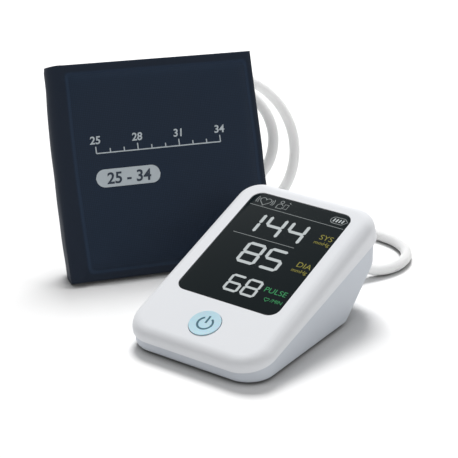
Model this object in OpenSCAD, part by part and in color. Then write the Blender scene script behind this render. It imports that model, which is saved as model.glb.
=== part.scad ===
// Upper-arm blood pressure monitor: a wedge-shaped desk unit with a sloping
// display and one button, its air hose, and the folded cuff that stands behind it.
// Millimetres, +Z up. The origin is on the table under the middle of the base,
// +X is to the user's right and +Y points away from the user.

/* [Case] */
// Width of the top shell
case_w = 102; // [98:0.5:112]
// Length of the top shell along its slope
case_l = 153; // [149:0.5:165]
// Corner radius of the case at the front, seen from above
corner_r = 20; // [16:0.5:22]
// Corner radius of the case at the rear
rear_corner_r = 16.5; // [16:0.5:20]
// Rounding along the rim of the top shell
rim_r = 8; // [5:0.5:8]
// Height of the sloping face at its front end, before it is rounded
front_h = 15.9; // [15:0.1:18]
// Slope of the display face
slope_a = 19.5; // [18:0.5:21]
// Height of the parting line at the front end
part_h = 8.5; // [8:0.1:9.5]
// Slope of the parting line
part_a = 15.7; // [14.5:0.1:16.5]
// Wall of both shells
wall = 2.2; // [1.8:0.1:2.4]
// How far the top shell stands out past the base, all round
overhang = 1.8; // [1.2:0.1:2.4]
// Rounding along the bottom edge of the base
base_rim = 3; // [2.6:0.1:4]
// Radius of the swept-up tail of the base
tail_r = 38; // [34:0.5:39]
// Lean of the slanted rear corners of the base
swept_lean = 33; // [28:0.5:34]
// How far those corners are cut in at the table
swept_in = 26.6; // [22:0.1:27]
// Height that the rubber feet hold the base above the table
foot_h = 1.5; // [1:0.1:3]
// Radius of a foot
foot_r = 4.5; // [3:0.1:5]
// Radius of the posts for the case screws
post_r = 3.2; // [2.9:0.1:3.4]
// Radius of the threaded part of a case screw
screw_r = 1.25; // [1:0.05:1.5]

/* [Display] */
// Margin between the display window and either side of the case
lens_side = 13.8; // [13.5:0.1:16]
// Margin between the display window and the rear end of the case, along the slope
lens_rear = 12.3; // [11:0.1:15]
// Corner radius of the display window
lens_r = 7; // [6:0.5:10]
// Thickness of the window
lens_t = 1.4; // [1:0.1:1.6]
// Distance along the slope from the front end to the window
lens_s = 43.3; // [42:0.1:45]
// Depth of the window's face below the case
lens_sink = 0.2; // [0.1:0.1:0.4]
// Width of the ledge that the window is glued to
ledge_w = 3; // [2.5:0.1:4]
// Thickness of the liquid crystal glass
lcd_t = 2.8; // [2:0.1:3]
// Thickness of the lit plate under the glass
backlight_t = 4; // [3.5:0.1:5]
// Thickness of the circuit board
board_t = 1.6; // [1:0.1:2]

/* [Button] */
// Radius of the power button
button_r = 10.6; // [9:0.1:11.5]
// Distance along the slope from the front end to the middle of the button
button_s = 22.9; // [21:0.1:24]
// Height of the button's edge above the case
button_up = 0.6; // [0.4:0.1:1.2]
// Travel of the button
button_travel = 0.6; // [0.3:0.1:0.8]
// Gap between the button and its hole
button_gap = 0.35; // [0.3:0.05:0.5]

/* [Power] */
// Diameter of a battery
cell_d = 14.5; // [13.5:0.1:14.5]
// Length of a battery
cell_l = 50.5; // [48:0.5:50.5]
// Length kept for the contacts at the two ends of a battery
contact_room = 7; // [6:0.1:7.5]
// Wall of the battery bay
bay_wall = 2; // [1.8:0.1:2.4]
// Thickness of the battery door
door_t = 2.2; // [2:0.1:2.4]
// Gap round the battery door
door_gap = 0.3; // [0.25:0.05:0.5]
// Radius of the door's hinge pins
pin_r = 0.7; // [0.5:0.05:0.8]

/* [Pump] */
// Radius of the pump head
head_r = 13.5; // [12.8:0.1:14]
// Length of the pump head
head_l = 26; // [22:0.5:26.5]
// Radius of the motor
motor_r = 12; // [10:0.1:12.5]
// Length of the motor
motor_l = 30; // [26:0.5:31]
// Radius of the motor shaft
shaft_r = 1; // [0.8:0.05:1.5]
// Offset of the crank that works the diaphragms
crank = 1.2; // [0.6:0.1:1.6]
// Radius of the valve's plunger
plunger_r = 1.6; // [1:0.1:2]
// Travel of the valve's plunger
valve_travel = 1; // [0.5:0.1:1.2]

/* [Hose] */
// Outer diameter of the air hose
hose_d = 7.5; // [6:0.1:8]
// Distance of the air socket from the left side of the base
socket_in = 21.2; // [19.2:0.5:23.2]
// Height of the air socket above the table
socket_z = 24; // [23:0.5:26]
// Radius of the air socket's face
socket_r = 5; // [4.5:0.1:5.5]
// Radius of the bore that takes the plug
socket_bore = 2.6; // [2.2:0.05:3]

/* [Cuff] */
// Width of the folded cuff
cuff_w = 143.6; // [138:0.2:150]
// Height of the cuff, which is the width of its cloth
cuff_h = 145; // [140:0.5:150]
// Thickness of one layer of the cuff
layer_t = 3.6; // [3:0.1:3.8]
// Gap between two folded layers
layer_gap = 0.5; // [0.4:0.1:0.7]
// Gap under the front layer, which holds the hook patch
hook_room = 1.2; // [1:0.1:1.4]
// Angle that the cuff leans back
cuff_lean = 24.8; // [22:0.2:26]
// Angle that the cuff is turned from the front of the case
cuff_turn = 51.3; // [50:0.2:53]
// Distance of the cuff's front corner to the left of the middle
cuff_left = 133.2; // [130:0.2:140]
// Distance of the cuff's front corner in front of the middle
cuff_front = 24.4; // [20:0.2:30]

/* [Hidden] */
$fn = 64;

// Clearance between two seated pieces, of a running fit and round a screw's thread
seat = 0.3;
slack = 0.08;
grip = 0.05;
// Overrun of a cut past the face that it opens
over = 1;

// The parting plane meets the front and rear ends of the top shell at these depths
sa = sin(slope_a);
ca = cos(slope_a);
tp = tan(part_a);
front_n = (front_h - part_h) / (ca + tp * sa);
rear_n = (front_h - part_h + case_l * (sa - tp * ca)) / (ca + tp * sa);
front_y = -(case_l * ca + (front_n + rear_n) * sa) / 2;
slab_t = rear_n + 4;

// Base
base_w = case_w - 2 * overhang;
base_l = round(10 * (case_l * ca + (rear_n - front_n) * sa - 2 * overhang)) / 10;
base_corners = [corner_r - overhang, rear_corner_r - overhang];
tail_y = base_l / 2 - tail_r;
tail_z = foot_h + tail_r;
swept_turn = 35;
swept_reach = base_w / 2 * cos(swept_turn) + base_l / 2 * sin(swept_turn) - swept_in;
function part_z(y) = part_h + (y - front_y) * tp;
function tail_edge(z, r) = tail_y + sqrt(r * r - pow(tail_z - z, 2));

// Battery bay
cells = 4;
cell_gap = 0.5;
bay_w = cells * cell_d + (cells + 1) * cell_gap;
bay_l = cell_l + contact_room;
bay_y = -0.5;
bay_top = foot_h + door_t + seat + cell_d + seat;
cell_z = foot_h + door_t + seat + cell_d / 2;
door_lip = 1.2;
door_w = bay_w + 2 * door_lip;
door_l = bay_l + 2 * door_lip;
door_front = bay_y - door_l / 2;
pin_y = door_front + door_t / 2;
pin_z = foot_h + door_t / 2;
pin_l = 2.5;
tongue_w = 16;
tongue_l = 10;
rib_step = 1.6;
nub_l = 1;
nub_r = 2.7;
contact_t = 0.5;
contact_w = 9;
contact_y = bay_l / 2 - 0.1 - contact_t;
coil_wire_r = 0.35;
coil_l = 2 * contact_y - cell_l - 3 * seat - 2 * coil_wire_r;

// Screws and feet
boss_r = post_r + 0.6;
boss_in = 0.5;
boss_floor = 3;
screw_x = base_w / 2 - wall - boss_r + boss_in;
screw_ys = [-base_l / 2 + 22.4, base_l / 2 - 27.4];
head_of_screw_r = 2.5;
head_of_screw_t = 2;
screw_l = 9.4;
foot_by_door = 2.05;
foot_x = [base_w / 2 - 15.2, door_w / 2 + foot_by_door + foot_r];
foot_y = [-base_l / 2 + 12.4, tail_y - 8.4];
foot_in = 0.8;

// Display stack, measured down from the sloping face
lens_w = case_w - 2 * lens_side;
lens_l = case_l - lens_s - lens_rear;
lcd_n = lens_sink + lens_t + seat;
board_n = lcd_n + lcd_t + backlight_t;
ledge_n = wall + 1.2;
ledge_rim = 1;
ledge_in_r = 3;
lcd_side = 1.2;
lcd_w = lens_w - 2 * ledge_w - 2 * lcd_side;
lcd_l = lens_l - 2 * ledge_w - 2 * lcd_side;
lcd_s = lens_s + ledge_w + lcd_side;
frame_wall = 1.6;
frame_w = lcd_w + 2 * seat + 2 * frame_wall;
frame_l = lcd_l + 2 * seat + 2 * frame_wall;
board_post_r = 2.1;
board_post_x = frame_w / 2 + board_post_r + 0.4;
board_w = 2 * (board_post_x + board_post_r + 0.4);
board_s = 12;
board_l = lens_s + lens_l - board_s - 6.7;
board_post_ss = [board_s + 6, board_s + board_l - 6];
board_screw_r = 1;
board_screw_l = board_t + 3.6;

// Button stack
flange_n = wall + seat;
flange_t = 1;
flange_r = button_r + 1.2;
collar_n = flange_n + flange_t + button_travel;
collar_r = flange_r + 0.4;
collar_t = 1.4;
cap_t = 2.4;
cap_wall = 1.6;
dish_r = 90;
dish_in = 0.55;
stem_r = 2.2;
switch_w = 6;
switch_t = 3.2;
switch_floor = 0.8;
tact_r = 1.7;
tact_n = board_n - switch_floor - button_travel - 0.2;
stem_n = board_n - switch_t - button_travel - 0.4;

// Pump
pump_y = bay_y + bay_l / 2 + bay_wall + head_r + 2;
pump_z = foot_h + wall + head_r + 9.8;
pump_side = 9;
motor_x = pump_side + wall - base_w / 2;
head_x = motor_x + motor_l;
can_t = 1.2;
armature_r = motor_r - 3;
armature_l = motor_l - 12;
cushion_t = 1.4;
cushion_l = 6;
cushion_xs = [motor_x + cushion_l, motor_x + motor_l - cushion_l];
rib_t = 2;
// Along the pump head: front wall, crank chamber, web, air chamber, rear wall
head_wall = 2;
crank_room = 11;
air_room = head_l - crank_room - 3 * head_wall;
crank_disc_r = 4;
crank_disc_t = 5;
head_rib_x = head_x + crank_room + 2 * head_wall;
nozzle_r = 1.5;
nozzle_l = 5;
nozzle_bore = 0.8;
nozzle_up = 3;

// Valve and sensor hang under the board
under_n = board_n + board_t;
valve_x = board_w / 2 - 10;
valve_s = lens_s + 58;
valve_w = 16;
valve_l = 12;
valve_h = 10;
valve_out = 4;
valve_head_t = 1;
valve_head_r = plunger_r + 1.4;
valve_floor = 2;
sensor_x = -30;
sensor_s = lens_s + 44;
sensor_w = 9;
sensor_h = 4.4;

// Air line inside the case
tube_r = 1.8;
tee_y = base_l / 2 - 8.8;
tee_z = 41;
tee_r = 3;
tee_x = [-6, 14];
branch_x = [1, 10];
branch_z = tee_z + 1;
branch_y = tee_y - tee_r - 3;
elbow_y = base_l / 2 - 9.1;
elbow_z = socket_z + 12;

// Socket, plug and jack on the tail of the base
socket_x = socket_in - base_w / 2;
socket_flange = 1.5;
socket_face = tail_edge(socket_z + socket_r + 1, tail_r) + 0.4;
flange_y = tail_edge(socket_z - socket_r - 0.5, tail_r - wall) - 0.3;
jack_z = socket_z;
jack_r = 3.9;
jack_bore = 2.8;
jack_face = tail_edge(jack_z, tail_r) - 0.4;
jack_w = 10;
jack_l = 12;
jack_by_pump = 1;
jack_x = head_x + head_l + jack_by_pump + jack_w / 2;
jack_floor = 2;
jack_pin_r = 0.8;
jack_stop = tail_edge(jack_z - jack_w / 2, tail_r - wall) - seat;
plug_r = 6;
plug_arm = 13;
plug_arm_r = 5.2;
plug_y = 86;
plug_gap = 0.05;
ring_r = 0.5;
groove_w = 2 * ring_r + 0.1;
groove_r = socket_bore - plug_gap - 2 * ring_r - plug_gap;
seal_y = 2;
nozzle_in = 7;
air_r = 1;

// Cuff, in its own leaning frame: across, through, and up the cloth
lay1 = layer_t + hook_room;
lay2 = lay1 + layer_t + layer_gap;
lay3 = lay2 + layer_t + layer_gap;
cuff_t = lay3 + layer_t;
fold_l = cuff_t / 2;
fold_r = (cuff_t - lay1) / 2;
fold_in = (lay3 - layer_gap - lay1) / 2;
free_edge = 4;
// How far the front of the roll stands out at its foot, and how far its sections start
// below the table, which trims them
cuff_splay = 7;
below_table = 6;
turn_u = cuff_w - free_edge - fold_r;
inner_u = fold_l + 5;
inner_end = turn_u - 7;
// The bladder's pocket: its skin, and its margins at the sides, bottom and top
skin = 0.5;
pad_gap = 0.2;
pocket_side = 20;
pocket_v = [20, cuff_h - 12];
patch_t = hook_room - pad_gap;
hook_w = 30;
hook_edge = 12;
loop_t = 0.8;
loop_w = 62;
loop_edge = [6, 16, 12];
port_u = 98;
port_r = 8;
port_t = 1.6;
port_reach = 4.9;
port_arm_r = 3.4;
elbow_r = 4.2;
collar_end_r = 4.6;
collar_l = 5;

// Route of the hose: laid on the table from the plug to the cuff, then two turns
// that stand on the table and lean on the cuff's back, into the cuff's port
hose_r = hose_d / 2;
plug_end = [socket_x + plug_arm, plug_y, socket_z];
on_table = 3.8;
lead = concat([plug_end, plug_end + [hose_d, 0, 0]],
    [[5, 87, 20.5], [16, 91, 12.5], [26, 99.5, 6.2], [33, 110, 4]],
    [for (p = [[36, 122], [34, 135], [27, 145.5], [16, 152.5], [4, 155], [-11, 155], [-25, 153],
        [-39, 148.5], [-51, 141], [-61, 131], [-70, 120], [-78, 110]]) [p[0], p[1], on_table]]);
// The coil's middle across and up the cuff, its half-width, and how much each turn
// moves across, rises, draws in and comes forward to the depth of the port
coil_mid_u = 123.4;
coil_mid_v = 78.1;
coil_r = 54;
coil_shift = 3.3;
coil_lift = 6.5;
coil_draw = 14.1;
coil_close = 8;
coil_step = 15;
coil_end = 720;
coil_tail = 8;
port_d = cuff_t + port_reach;
function coil_turn(a) = (a - 270) / 360;
function coil_half(a) = coil_r - coil_draw * coil_turn(a);
function coil_u(a) = coil_mid_u - coil_shift * coil_turn(a) - coil_half(a) * sin(a);
function coil_d(a) = port_d + coil_close * max(0, 1 - coil_turn(a));
function coil_floor(a) = (on_table + coil_d(a) * sin(cuff_lean)) / cos(cuff_lean);
function coil_mid(a) = coil_mid_v + coil_lift * coil_turn(a);
function coil_v(a) = coil_mid(a)
    - cos(a) * (a < 90 ? coil_mid(a) - coil_floor(a) : coil_half(a));

// From the cuff's frame (across, through, up) to the table's
function leant(p) = let(b = p[1] * cos(cuff_lean) + p[2] * sin(cuff_lean))
    [-cuff_left + p[0] * cos(cuff_turn) - b * sin(cuff_turn),
     -cuff_front + p[0] * sin(cuff_turn) + b * cos(cuff_turn),
     p[2] * cos(cuff_lean) - p[1] * sin(cuff_lean)];
coil = [for (a = [0:coil_step:coil_end]) leant([coil_u(a), coil_d(a), coil_v(a)])];
port_v = coil_v(coil_end);
tail_u = coil_u(coil_end) - coil_tail;
hose_path = concat(lead, coil, [leant([tail_u, port_d, port_v])]);

// Least gap of the hose to itself, measured past its own bends
hose_gap = min([for (i = [0:len(hose_path) - 1]) for (j = [i + 8:1:len(hose_path) - 1])
    norm(hose_path[i] - hose_path[j])]) - hose_d;
echo(least_gap_of_the_hose_to_itself = hose_gap);

function unit(v) = v / norm(v);
function square_to(n, t) = unit(n - (n * t) * t);
function carried(ts, n, i = 0) = i == len(ts) ? [] :
    let(m = square_to(n, ts[i])) concat([m], carried(ts, m, i + 1));

// Round tube swept along a list of points, or along a stretch of them, with its two
// ends square to the path
module tube(path, r, sides = 8, up = [0, 0, 1], first = 0, last = -1) {
    m = len(path) - 1;
    ts = [for (i = [0:m]) unit(path[min(i + 1, m)] - path[max(i - 1, 0)])];
    ns = carried(ts, up);
    stop = last < 0 ? m : last;
    n = stop - first + 1;
    rings = [for (i = [first:stop]) for (k = [0:sides - 1])
        let(a = 360 * k / sides)
        path[i] + r * (cos(a) * ns[i] + sin(a) * cross(ts[i], ns[i]))];
    pts = concat(rings, [path[first], path[stop]]);
    skin_faces = [for (i = [0:n - 2]) for (k = [0:sides - 1])
        let(a = i * sides + k, b = i * sides + (k + 1) % sides)
        each [[a, a + sides, b], [b, a + sides, b + sides]]];
    caps = [for (k = [0:sides - 1]) let(e = (n - 1) * sides, m = (k + 1) % sides)
        each [[n * sides, k, m], [n * sides + 1, e + m, e + k]]];
    polyhedron(points = pts, faces = concat(skin_faces, caps));
}

// Helix of wire along +Z, from z = 0 to z = h
function helix(r, h, turns, steps) = [for (i = [0:turns * steps])
    let(a = 360 * i / steps) [r * cos(a), r * sin(a), h * i / (turns * steps)]];

module on_slope(s = 0, n = 0) {
    translate([0, front_y, front_h]) rotate([slope_a, 0, 0]) translate([0, s, -n]) children();
}

module on_cuff() {
    translate([-cuff_left, -cuff_front, 0]) rotate([0, 0, cuff_turn])
        rotate([-cuff_lean, 0, 0]) children();
}

// Rounded rectangle, centred across and starting at y = 0
module plate(w, l, r, t) {
    linear_extrude(t) union() {
        translate([-w / 2 + r, 0]) square([w - 2 * r, l]);
        translate([-w / 2, r]) square([w, l - 2 * r]);
        for (x = [-w / 2 + r, w / 2 - r], y = [r, l - r]) translate([x, y]) circle(r);
    }
}

module rim_outline(corner, rim, t) {
    translate([0, -t]) square([corner - rim, t]);
    translate([0, -t]) square([corner, t - rim]);
    translate([corner - rim, -rim]) circle(rim);
}

// Block with round corners, of one radius in front and one behind, and a rounded top
// rim: its top face lies at z = 0
module rounded_slab(w, l, corners, rim, t) {
    translate([0, l / 2, 0]) for (end = [0, 1]) mirror([0, 1 - end, 0])
        half_slab(w / 2 - corners[end], l / 2 - corners[end], corners[end], rim, t);
}

module half_slab(x, y, corner, rim, t) {
    translate([-x, 0, -t]) cube([2 * x, y, t]);
    translate([-x, y, 0]) rotate([90, 0, 90]) linear_extrude(2 * x) rim_outline(corner, rim, t);
    for (side = [0, 1]) mirror([side, 0, 0]) translate([x, y, 0]) {
        rotate([90, 0, 0]) linear_extrude(y) rim_outline(corner, rim, t);
        rotate_extrude(angle = 90) rim_outline(corner, rim, t);
    }
}

// Everything above the parting plane
module above_parting() {
    translate([0, front_y, part_h]) rotate([part_a, 0, 0])
        translate([-case_w, -case_l, 0]) cube([2 * case_w, 3 * case_l, 2 * case_l]);
}

// What the swept tail takes off the back of the base, at radius r
module off_tail(r) {
    difference() {
        translate([-case_w, tail_y, -over]) cube([2 * case_w, 2 * tail_r, tail_z + over]);
        translate([-2 * case_w, tail_y, tail_z]) rotate([0, 90, 0])
            cylinder(r = r, h = 4 * case_w, $fn = 128);
    }
}

// What the slanted planes take off the two rear corners of the base
module off_corners(inset) {
    for (side = [0, 1]) mirror([side, 0, 0]) rotate([0, 0, swept_turn])
        translate([swept_reach, 0, 0]) rotate([0, swept_lean, 0])
            translate([-inset, -case_l, -case_l]) cube([case_l, 2 * case_l, 3 * case_l]);
}

module top_block() {
    on_slope() rounded_slab(case_w, case_l, [corner_r, rear_corner_r], rim_r, slab_t);
}

module base_block(inset = 0) {
    difference() {
        translate([0, -base_l / 2 + inset, foot_h + inset]) mirror([0, 0, 1])
            rounded_slab(base_w - 2 * inset, base_l - 2 * inset,
                [for (corner = base_corners) corner - inset],
                base_rim - inset, tail_z + tail_r);
        off_tail(tail_r - inset);
        off_corners(inset);
    }
}

// Where the base's bosses and the top shell's posts meet, or so far above
module at_case_screws(up = 0) {
    for (x = [-screw_x, screw_x], y = screw_ys) translate([x, y, part_z(y) + up]) children();
}

module at_board_screws() {
    for (x = [-board_post_x, board_post_x], s = board_post_ss)
        on_slope(s, board_n) translate([x, 0, 0]) children();
}

module top_housing() {
    color("whitesmoke") difference() {
        union() {
            difference() {
                intersection() {
                    top_block();
                    above_parting();
                }
                on_slope(wall, wall)
                    rounded_slab(case_w - 2 * wall, case_l - 2 * wall,
                        [corner_r - wall, rear_corner_r - wall],
                        rim_r - wall, slab_t);
            }
            on_slope(lens_s - ledge_rim, ledge_n) plate(lens_w + 2 * ledge_rim,
                lens_l + 2 * ledge_rim, lens_r + ledge_rim, ledge_n - lens_sink - lens_t);
            on_slope(button_s, collar_n) cylinder(r = collar_r + collar_t, h = collar_n - wall / 2);
            at_board_screws() cylinder(r = board_post_r, h = board_n - wall / 2);
            intersection() {
                top_block();
                at_case_screws() cylinder(r = post_r, h = case_l);
            }
        }
        on_slope(lens_s - seat, lens_sink + lens_t)
            plate(lens_w + 2 * seat, lens_l + 2 * seat, lens_r + seat, lens_t + over);
        on_slope(lens_s + ledge_w, ledge_n + over)
            plate(lens_w - 2 * ledge_w, lens_l - 2 * ledge_w, ledge_in_r, ledge_n + 2 * over);
        on_slope(button_s, collar_n + over) {
            cylinder(r = button_r, h = collar_n + 2 * over);
            cylinder(r = collar_r, h = collar_n + over - wall);
        }
        at_board_screws() translate([0, 0, -over])
            cylinder(r = board_screw_r + grip, h = board_screw_l - board_t + 0.4 + over);
        at_case_screws(-over) cylinder(r = screw_r + grip, h = screw_l - boss_floor + 0.6 + over);
    }
}

module base_housing() {
    color("gainsboro") difference() {
        union() {
            difference() {
                base_block();
                base_block(wall);
                above_parting();
            }
            translate([-bay_w / 2 - bay_wall, bay_y - bay_l / 2 - bay_wall, foot_h])
                cube([bay_w + 2 * bay_wall, bay_l + 2 * bay_wall, bay_top - foot_h + bay_wall]);
            intersection() {
                base_block();
                // Turned so that its seam is off the line where it meets the parting plane
                at_case_screws() rotate([180, 0, 90]) cylinder(r = boss_r, h = case_l);
            }
            intersection() {
                base_block();
                pump_saddles();
            }
        }
        translate([-bay_w / 2, bay_y - bay_l / 2, foot_h - over])
            cube([bay_w, bay_l, bay_top - foot_h + over]);
        translate([-door_w / 2 - door_gap, door_front - door_gap, foot_h - over])
            cube([door_w + 2 * door_gap, door_l + 2 * door_gap, door_t + over]);
        translate([-door_w / 2 - door_gap - pin_l - 0.2, pin_y, pin_z]) rotate([0, 90, 0])
            cylinder(r = pin_r + slack, h = door_w + 2 * (door_gap + pin_l + 0.2));
        at_case_screws(over) mirror([0, 0, 1]) cylinder(r = screw_r + 0.35, h = case_l);
        at_case_screws(-boss_floor) mirror([0, 0, 1])
            cylinder(r = head_of_screw_r + 0.2, h = case_l);
        at_feet() translate([0, 0, -over]) cylinder(r = foot_r + 0.1, h = foot_h + foot_in + over);
        translate([socket_x, flange_y - 0.5, socket_z]) rotate([-90, 0, 0])
            cylinder(r = socket_r + 0.1, h = tail_r);
        translate([jack_x, jack_stop, jack_z]) rotate([-90, 0, 0])
            cylinder(r = jack_r + 0.1, h = tail_r);
    }
}

module pump_saddles() {
    for (x = cushion_xs) saddle(x, motor_r + cushion_t + 0.1);
    saddle(head_rib_x, head_r + 0.1);
}

module saddle(x, r) {
    difference() {
        translate([x - rib_t / 2, pump_y - r - 1, 0]) cube([rib_t, 2 * r + 2, pump_z]);
        translate([x - rib_t, pump_y, pump_z]) rotate([0, 90, 0]) cylinder(r = r, h = 2 * rib_t);
    }
}

module display_lens() {
    color([0.1, 0.12, 0.13]) on_slope(lens_s, lens_sink + lens_t)
        plate(lens_w, lens_l, lens_r, lens_t);
}

module lcd_glass() {
    color([0.2, 0.23, 0.24]) on_slope(lcd_s, lcd_n + lcd_t)
        translate([-lcd_w / 2, 0, 0]) cube([lcd_w, lcd_l, lcd_t]);
}

// Lit plate with a rim that holds the glass
module lcd_frame() {
    color("white") on_slope(lcd_s - seat - frame_wall, board_n) difference() {
        translate([-frame_w / 2, 0, 0]) cube([frame_w, frame_l, board_n - ledge_n - seat]);
        translate([-lcd_w / 2 - seat, frame_wall, backlight_t])
            cube([lcd_w + 2 * seat, lcd_l + 2 * seat, board_n]);
    }
}

// Flat cable from the edge of the glass round its frame to the board
module lcd_ribbon() {
    ribbon_w = 30;
    ribbon_t = 0.25;
    pad_l = 3;
    color("goldenrod") on_slope(lcd_s - 2 * seat - frame_wall - ribbon_t, board_n) {
        translate([-ribbon_w / 2, 0, 0]) cube([ribbon_w, ribbon_t, board_n - ledge_n - seat]);
        translate([-ribbon_w / 2, -pad_l, 0]) cube([ribbon_w, pad_l, ribbon_t]);
    }
}

module circuit_board() {
    color("seagreen") difference() {
        on_slope(board_s, under_n) translate([-board_w / 2, 0, 0])
            cube([board_w, board_l, board_t]);
        at_board_screws() translate([0, 0, -board_t - over])
            cylinder(r = board_screw_r + 0.2, h = board_t + 2 * over);
    }
}

// Controller, memory, driver and a pair of capacitors under the board
module board_chips() {
    // Place across and along the board, width, length and thickness
    chips = [[0, 40, 12, 12, 1.6], [18, 40, 6, 8, 1.4], [-18, 42, 8, 6, 1.4], [-12, 62, 5, 4, 1.2]];
    can_h = 5;
    color([0.15, 0.15, 0.16]) {
        for (c = chips) on_slope(board_s + c[1], under_n + c[4])
            translate([c[0] - c[2] / 2, 0, 0]) cube([c[2], c[3], c[4]]);
        for (x = [12, 20]) on_slope(board_s + 64, under_n + can_h) translate([x, 0, 0])
            cylinder(r = can_h / 2, h = can_h);
    }
}

module buzzer() {
    disc_r = 6;
    disc_t = 3.2;
    color([0.12, 0.12, 0.12]) on_slope(board_s + 11, under_n + disc_t) translate([24, 0, 0])
        difference() {
            cylinder(r = disc_r, h = disc_t);
            translate([0, 0, -over]) cylinder(r = disc_r / 6, h = disc_t / 2 + over);
        }
}

module tact_switch() {
    color([0.25, 0.25, 0.27]) on_slope(button_s, board_n) difference() {
        translate([-switch_w / 2, -switch_w / 2, 0]) cube([switch_w, switch_w, switch_t]);
        translate([0, 0, switch_floor]) cylinder(r = tact_r + slack, h = switch_t);
    }
}

// Travels in the switch, under the button's stem
module tact_plunger() {
    color("ivory") on_slope(button_s, tact_n) cylinder(r = tact_r, h = tact_n - stem_n);
}

// Dished cap with a flange that keeps it in the case
module power_button() {
    cap_r = button_r - button_gap;
    skirt_n = flange_n + flange_t;
    color([0.72, 0.87, 0.93]) difference() {
        on_slope(button_s, skirt_n) {
            cylinder(r = cap_r, h = skirt_n + button_up);
            cylinder(r = flange_r, h = flange_t);
        }
        on_slope(button_s, dish_in - button_up - dish_r) sphere(r = dish_r, $fn = 128);
        on_slope(button_s, skirt_n + over)
            cylinder(r = cap_r - cap_wall, h = skirt_n + over + button_up - cap_t);
    }
    color([0.72, 0.87, 0.93]) on_slope(button_s, stem_n)
        cylinder(r = stem_r, h = stem_n + button_up - cap_t / 2);
}

module screw(shank_r, shank_l, head_radius, head_t) {
    difference() {
        union() {
            cylinder(r = shank_r, h = shank_l);
            translate([0, 0, -head_t]) cylinder(r = head_radius, h = head_t);
        }
        for (a = [0, 90]) translate([0, 0, -head_t]) rotate([0, 0, a])
            cube([head_radius * 1.3, head_radius * 0.3, head_t], center = true);
    }
}

module board_screws() {
    color("silver") at_board_screws() translate([0, 0, -board_t])
        screw(board_screw_r, board_screw_l, 2, 1.2);
}

module housing_screws() {
    color("silver") at_case_screws(-boss_floor)
        screw(screw_r, screw_l, head_of_screw_r, head_of_screw_t);
}

module at_feet() {
    for (side = [-1, 1], k = [0, 1]) translate([side * foot_x[k], foot_y[k], 0]) children();
}

module feet() {
    color([0.45, 0.46, 0.48]) at_feet() cylinder(r = foot_r, h = foot_h + foot_in);
}

// Hinged on two pins at its front edge
module battery_door() {
    color("gainsboro") {
        difference() {
            union() {
                translate([-door_w / 2, pin_y, foot_h]) cube([door_w, door_l - door_t / 2, door_t]);
                translate([-door_w / 2, pin_y, pin_z]) rotate([0, 90, 0])
                    cylinder(r = door_t / 2, h = door_w);
                translate([-door_w / 2 - door_gap - pin_l, pin_y, pin_z]) rotate([0, 90, 0])
                    cylinder(r = pin_r, h = door_w + 2 * (door_gap + pin_l));
            }
            // Slots that free the springy tongue at the rear edge, and its finger ribs
            for (x = [-tongue_w / 2 - 1, tongue_w / 2])
                translate([x, door_front + door_l - tongue_l, foot_h - over])
                cube([1, tongue_l + over, door_t + 2 * over]);
            for (k = [1:4])
                translate([2 - tongue_w / 2, door_front + door_l - rib_step * k - 1, foot_h - over])
                cube([tongue_w - 4, rib_step / 2, over + 0.5]);
        }
    }
}

// Places for the cells, side by side, with every second one turned round: +Z then
// runs from the middle of a cell towards its nub
module at_cells() {
    for (k = [0:cells - 1])
        translate([(k - (cells - 1) / 2) * (cell_d + cell_gap), bay_y, cell_z])
            rotate([k % 2 == 0 ? -90 : 90, 0, 0]) children();
}

module batteries() {
    color([0.35, 0.37, 0.4]) at_cells() translate([0, 0, contact_y - seat - cell_l]) {
        cylinder(r = cell_d / 2, h = cell_l - nub_l);
        cylinder(r = nub_r, h = cell_l);
    }
}

// One coil against the flat end of each battery
module battery_springs() {
    turns = 3;
    color("silver") at_cells() translate([0, 0, seat + coil_wire_r - contact_y])
        tube(helix(cell_d / 4, coil_l, turns, 10), coil_wire_r, 5, [1, 0, 0]);
}

module battery_plates() {
    color("silver") at_cells() for (z = [contact_y, -contact_y - contact_t])
        translate([-contact_w / 2, -contact_w / 2, z]) cube([contact_w, contact_w, contact_t]);
}

// Inlet for a mains adapter: a barrel with a centre pin
module power_jack() {
    color([0.15, 0.15, 0.16]) translate([jack_x, jack_face - jack_l, jack_z]) difference() {
        union() {
            translate([-jack_w / 2, 0, -jack_w / 2])
                cube([jack_w, jack_stop - jack_face + jack_l, jack_w]);
            rotate([-90, 0, 0]) cylinder(r = jack_r, h = jack_l);
        }
        translate([0, jack_floor, 0]) rotate([-90, 0, 0]) cylinder(r = jack_bore, h = jack_l);
    }
    color("silver") translate([jack_x, jack_face - jack_l + jack_floor, jack_z])
        rotate([-90, 0, 0]) cylinder(r = jack_pin_r, h = jack_l - jack_floor - 1.5);
}

module along_pump(x) {
    translate([x, pump_y, pump_z]) rotate([0, 90, 0]) children();
}

module pump_motor() {
    color("silver") along_pump(motor_x) difference() {
        cylinder(r = motor_r, h = motor_l);
        translate([0, 0, can_t]) cylinder(r = motor_r - can_t, h = motor_l - 2 * can_t);
        translate([0, 0, -over]) cylinder(r = shaft_r + slack, h = motor_l + 2 * over);
    }
}

// Armature, shaft and the crank that works the diaphragms
module pump_rotor() {
    color([0.6, 0.45, 0.3]) {
        along_pump(motor_x + seat) cylinder(r = shaft_r, h = motor_l + head_wall + crank_room - 3);
        along_pump(motor_x + (motor_l - armature_l) / 2) cylinder(r = armature_r, h = armature_l);
        along_pump(head_x + head_wall + 2) translate([crank, 0, 0])
            cylinder(r = crank_disc_r, h = crank_disc_t);
    }
}

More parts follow.
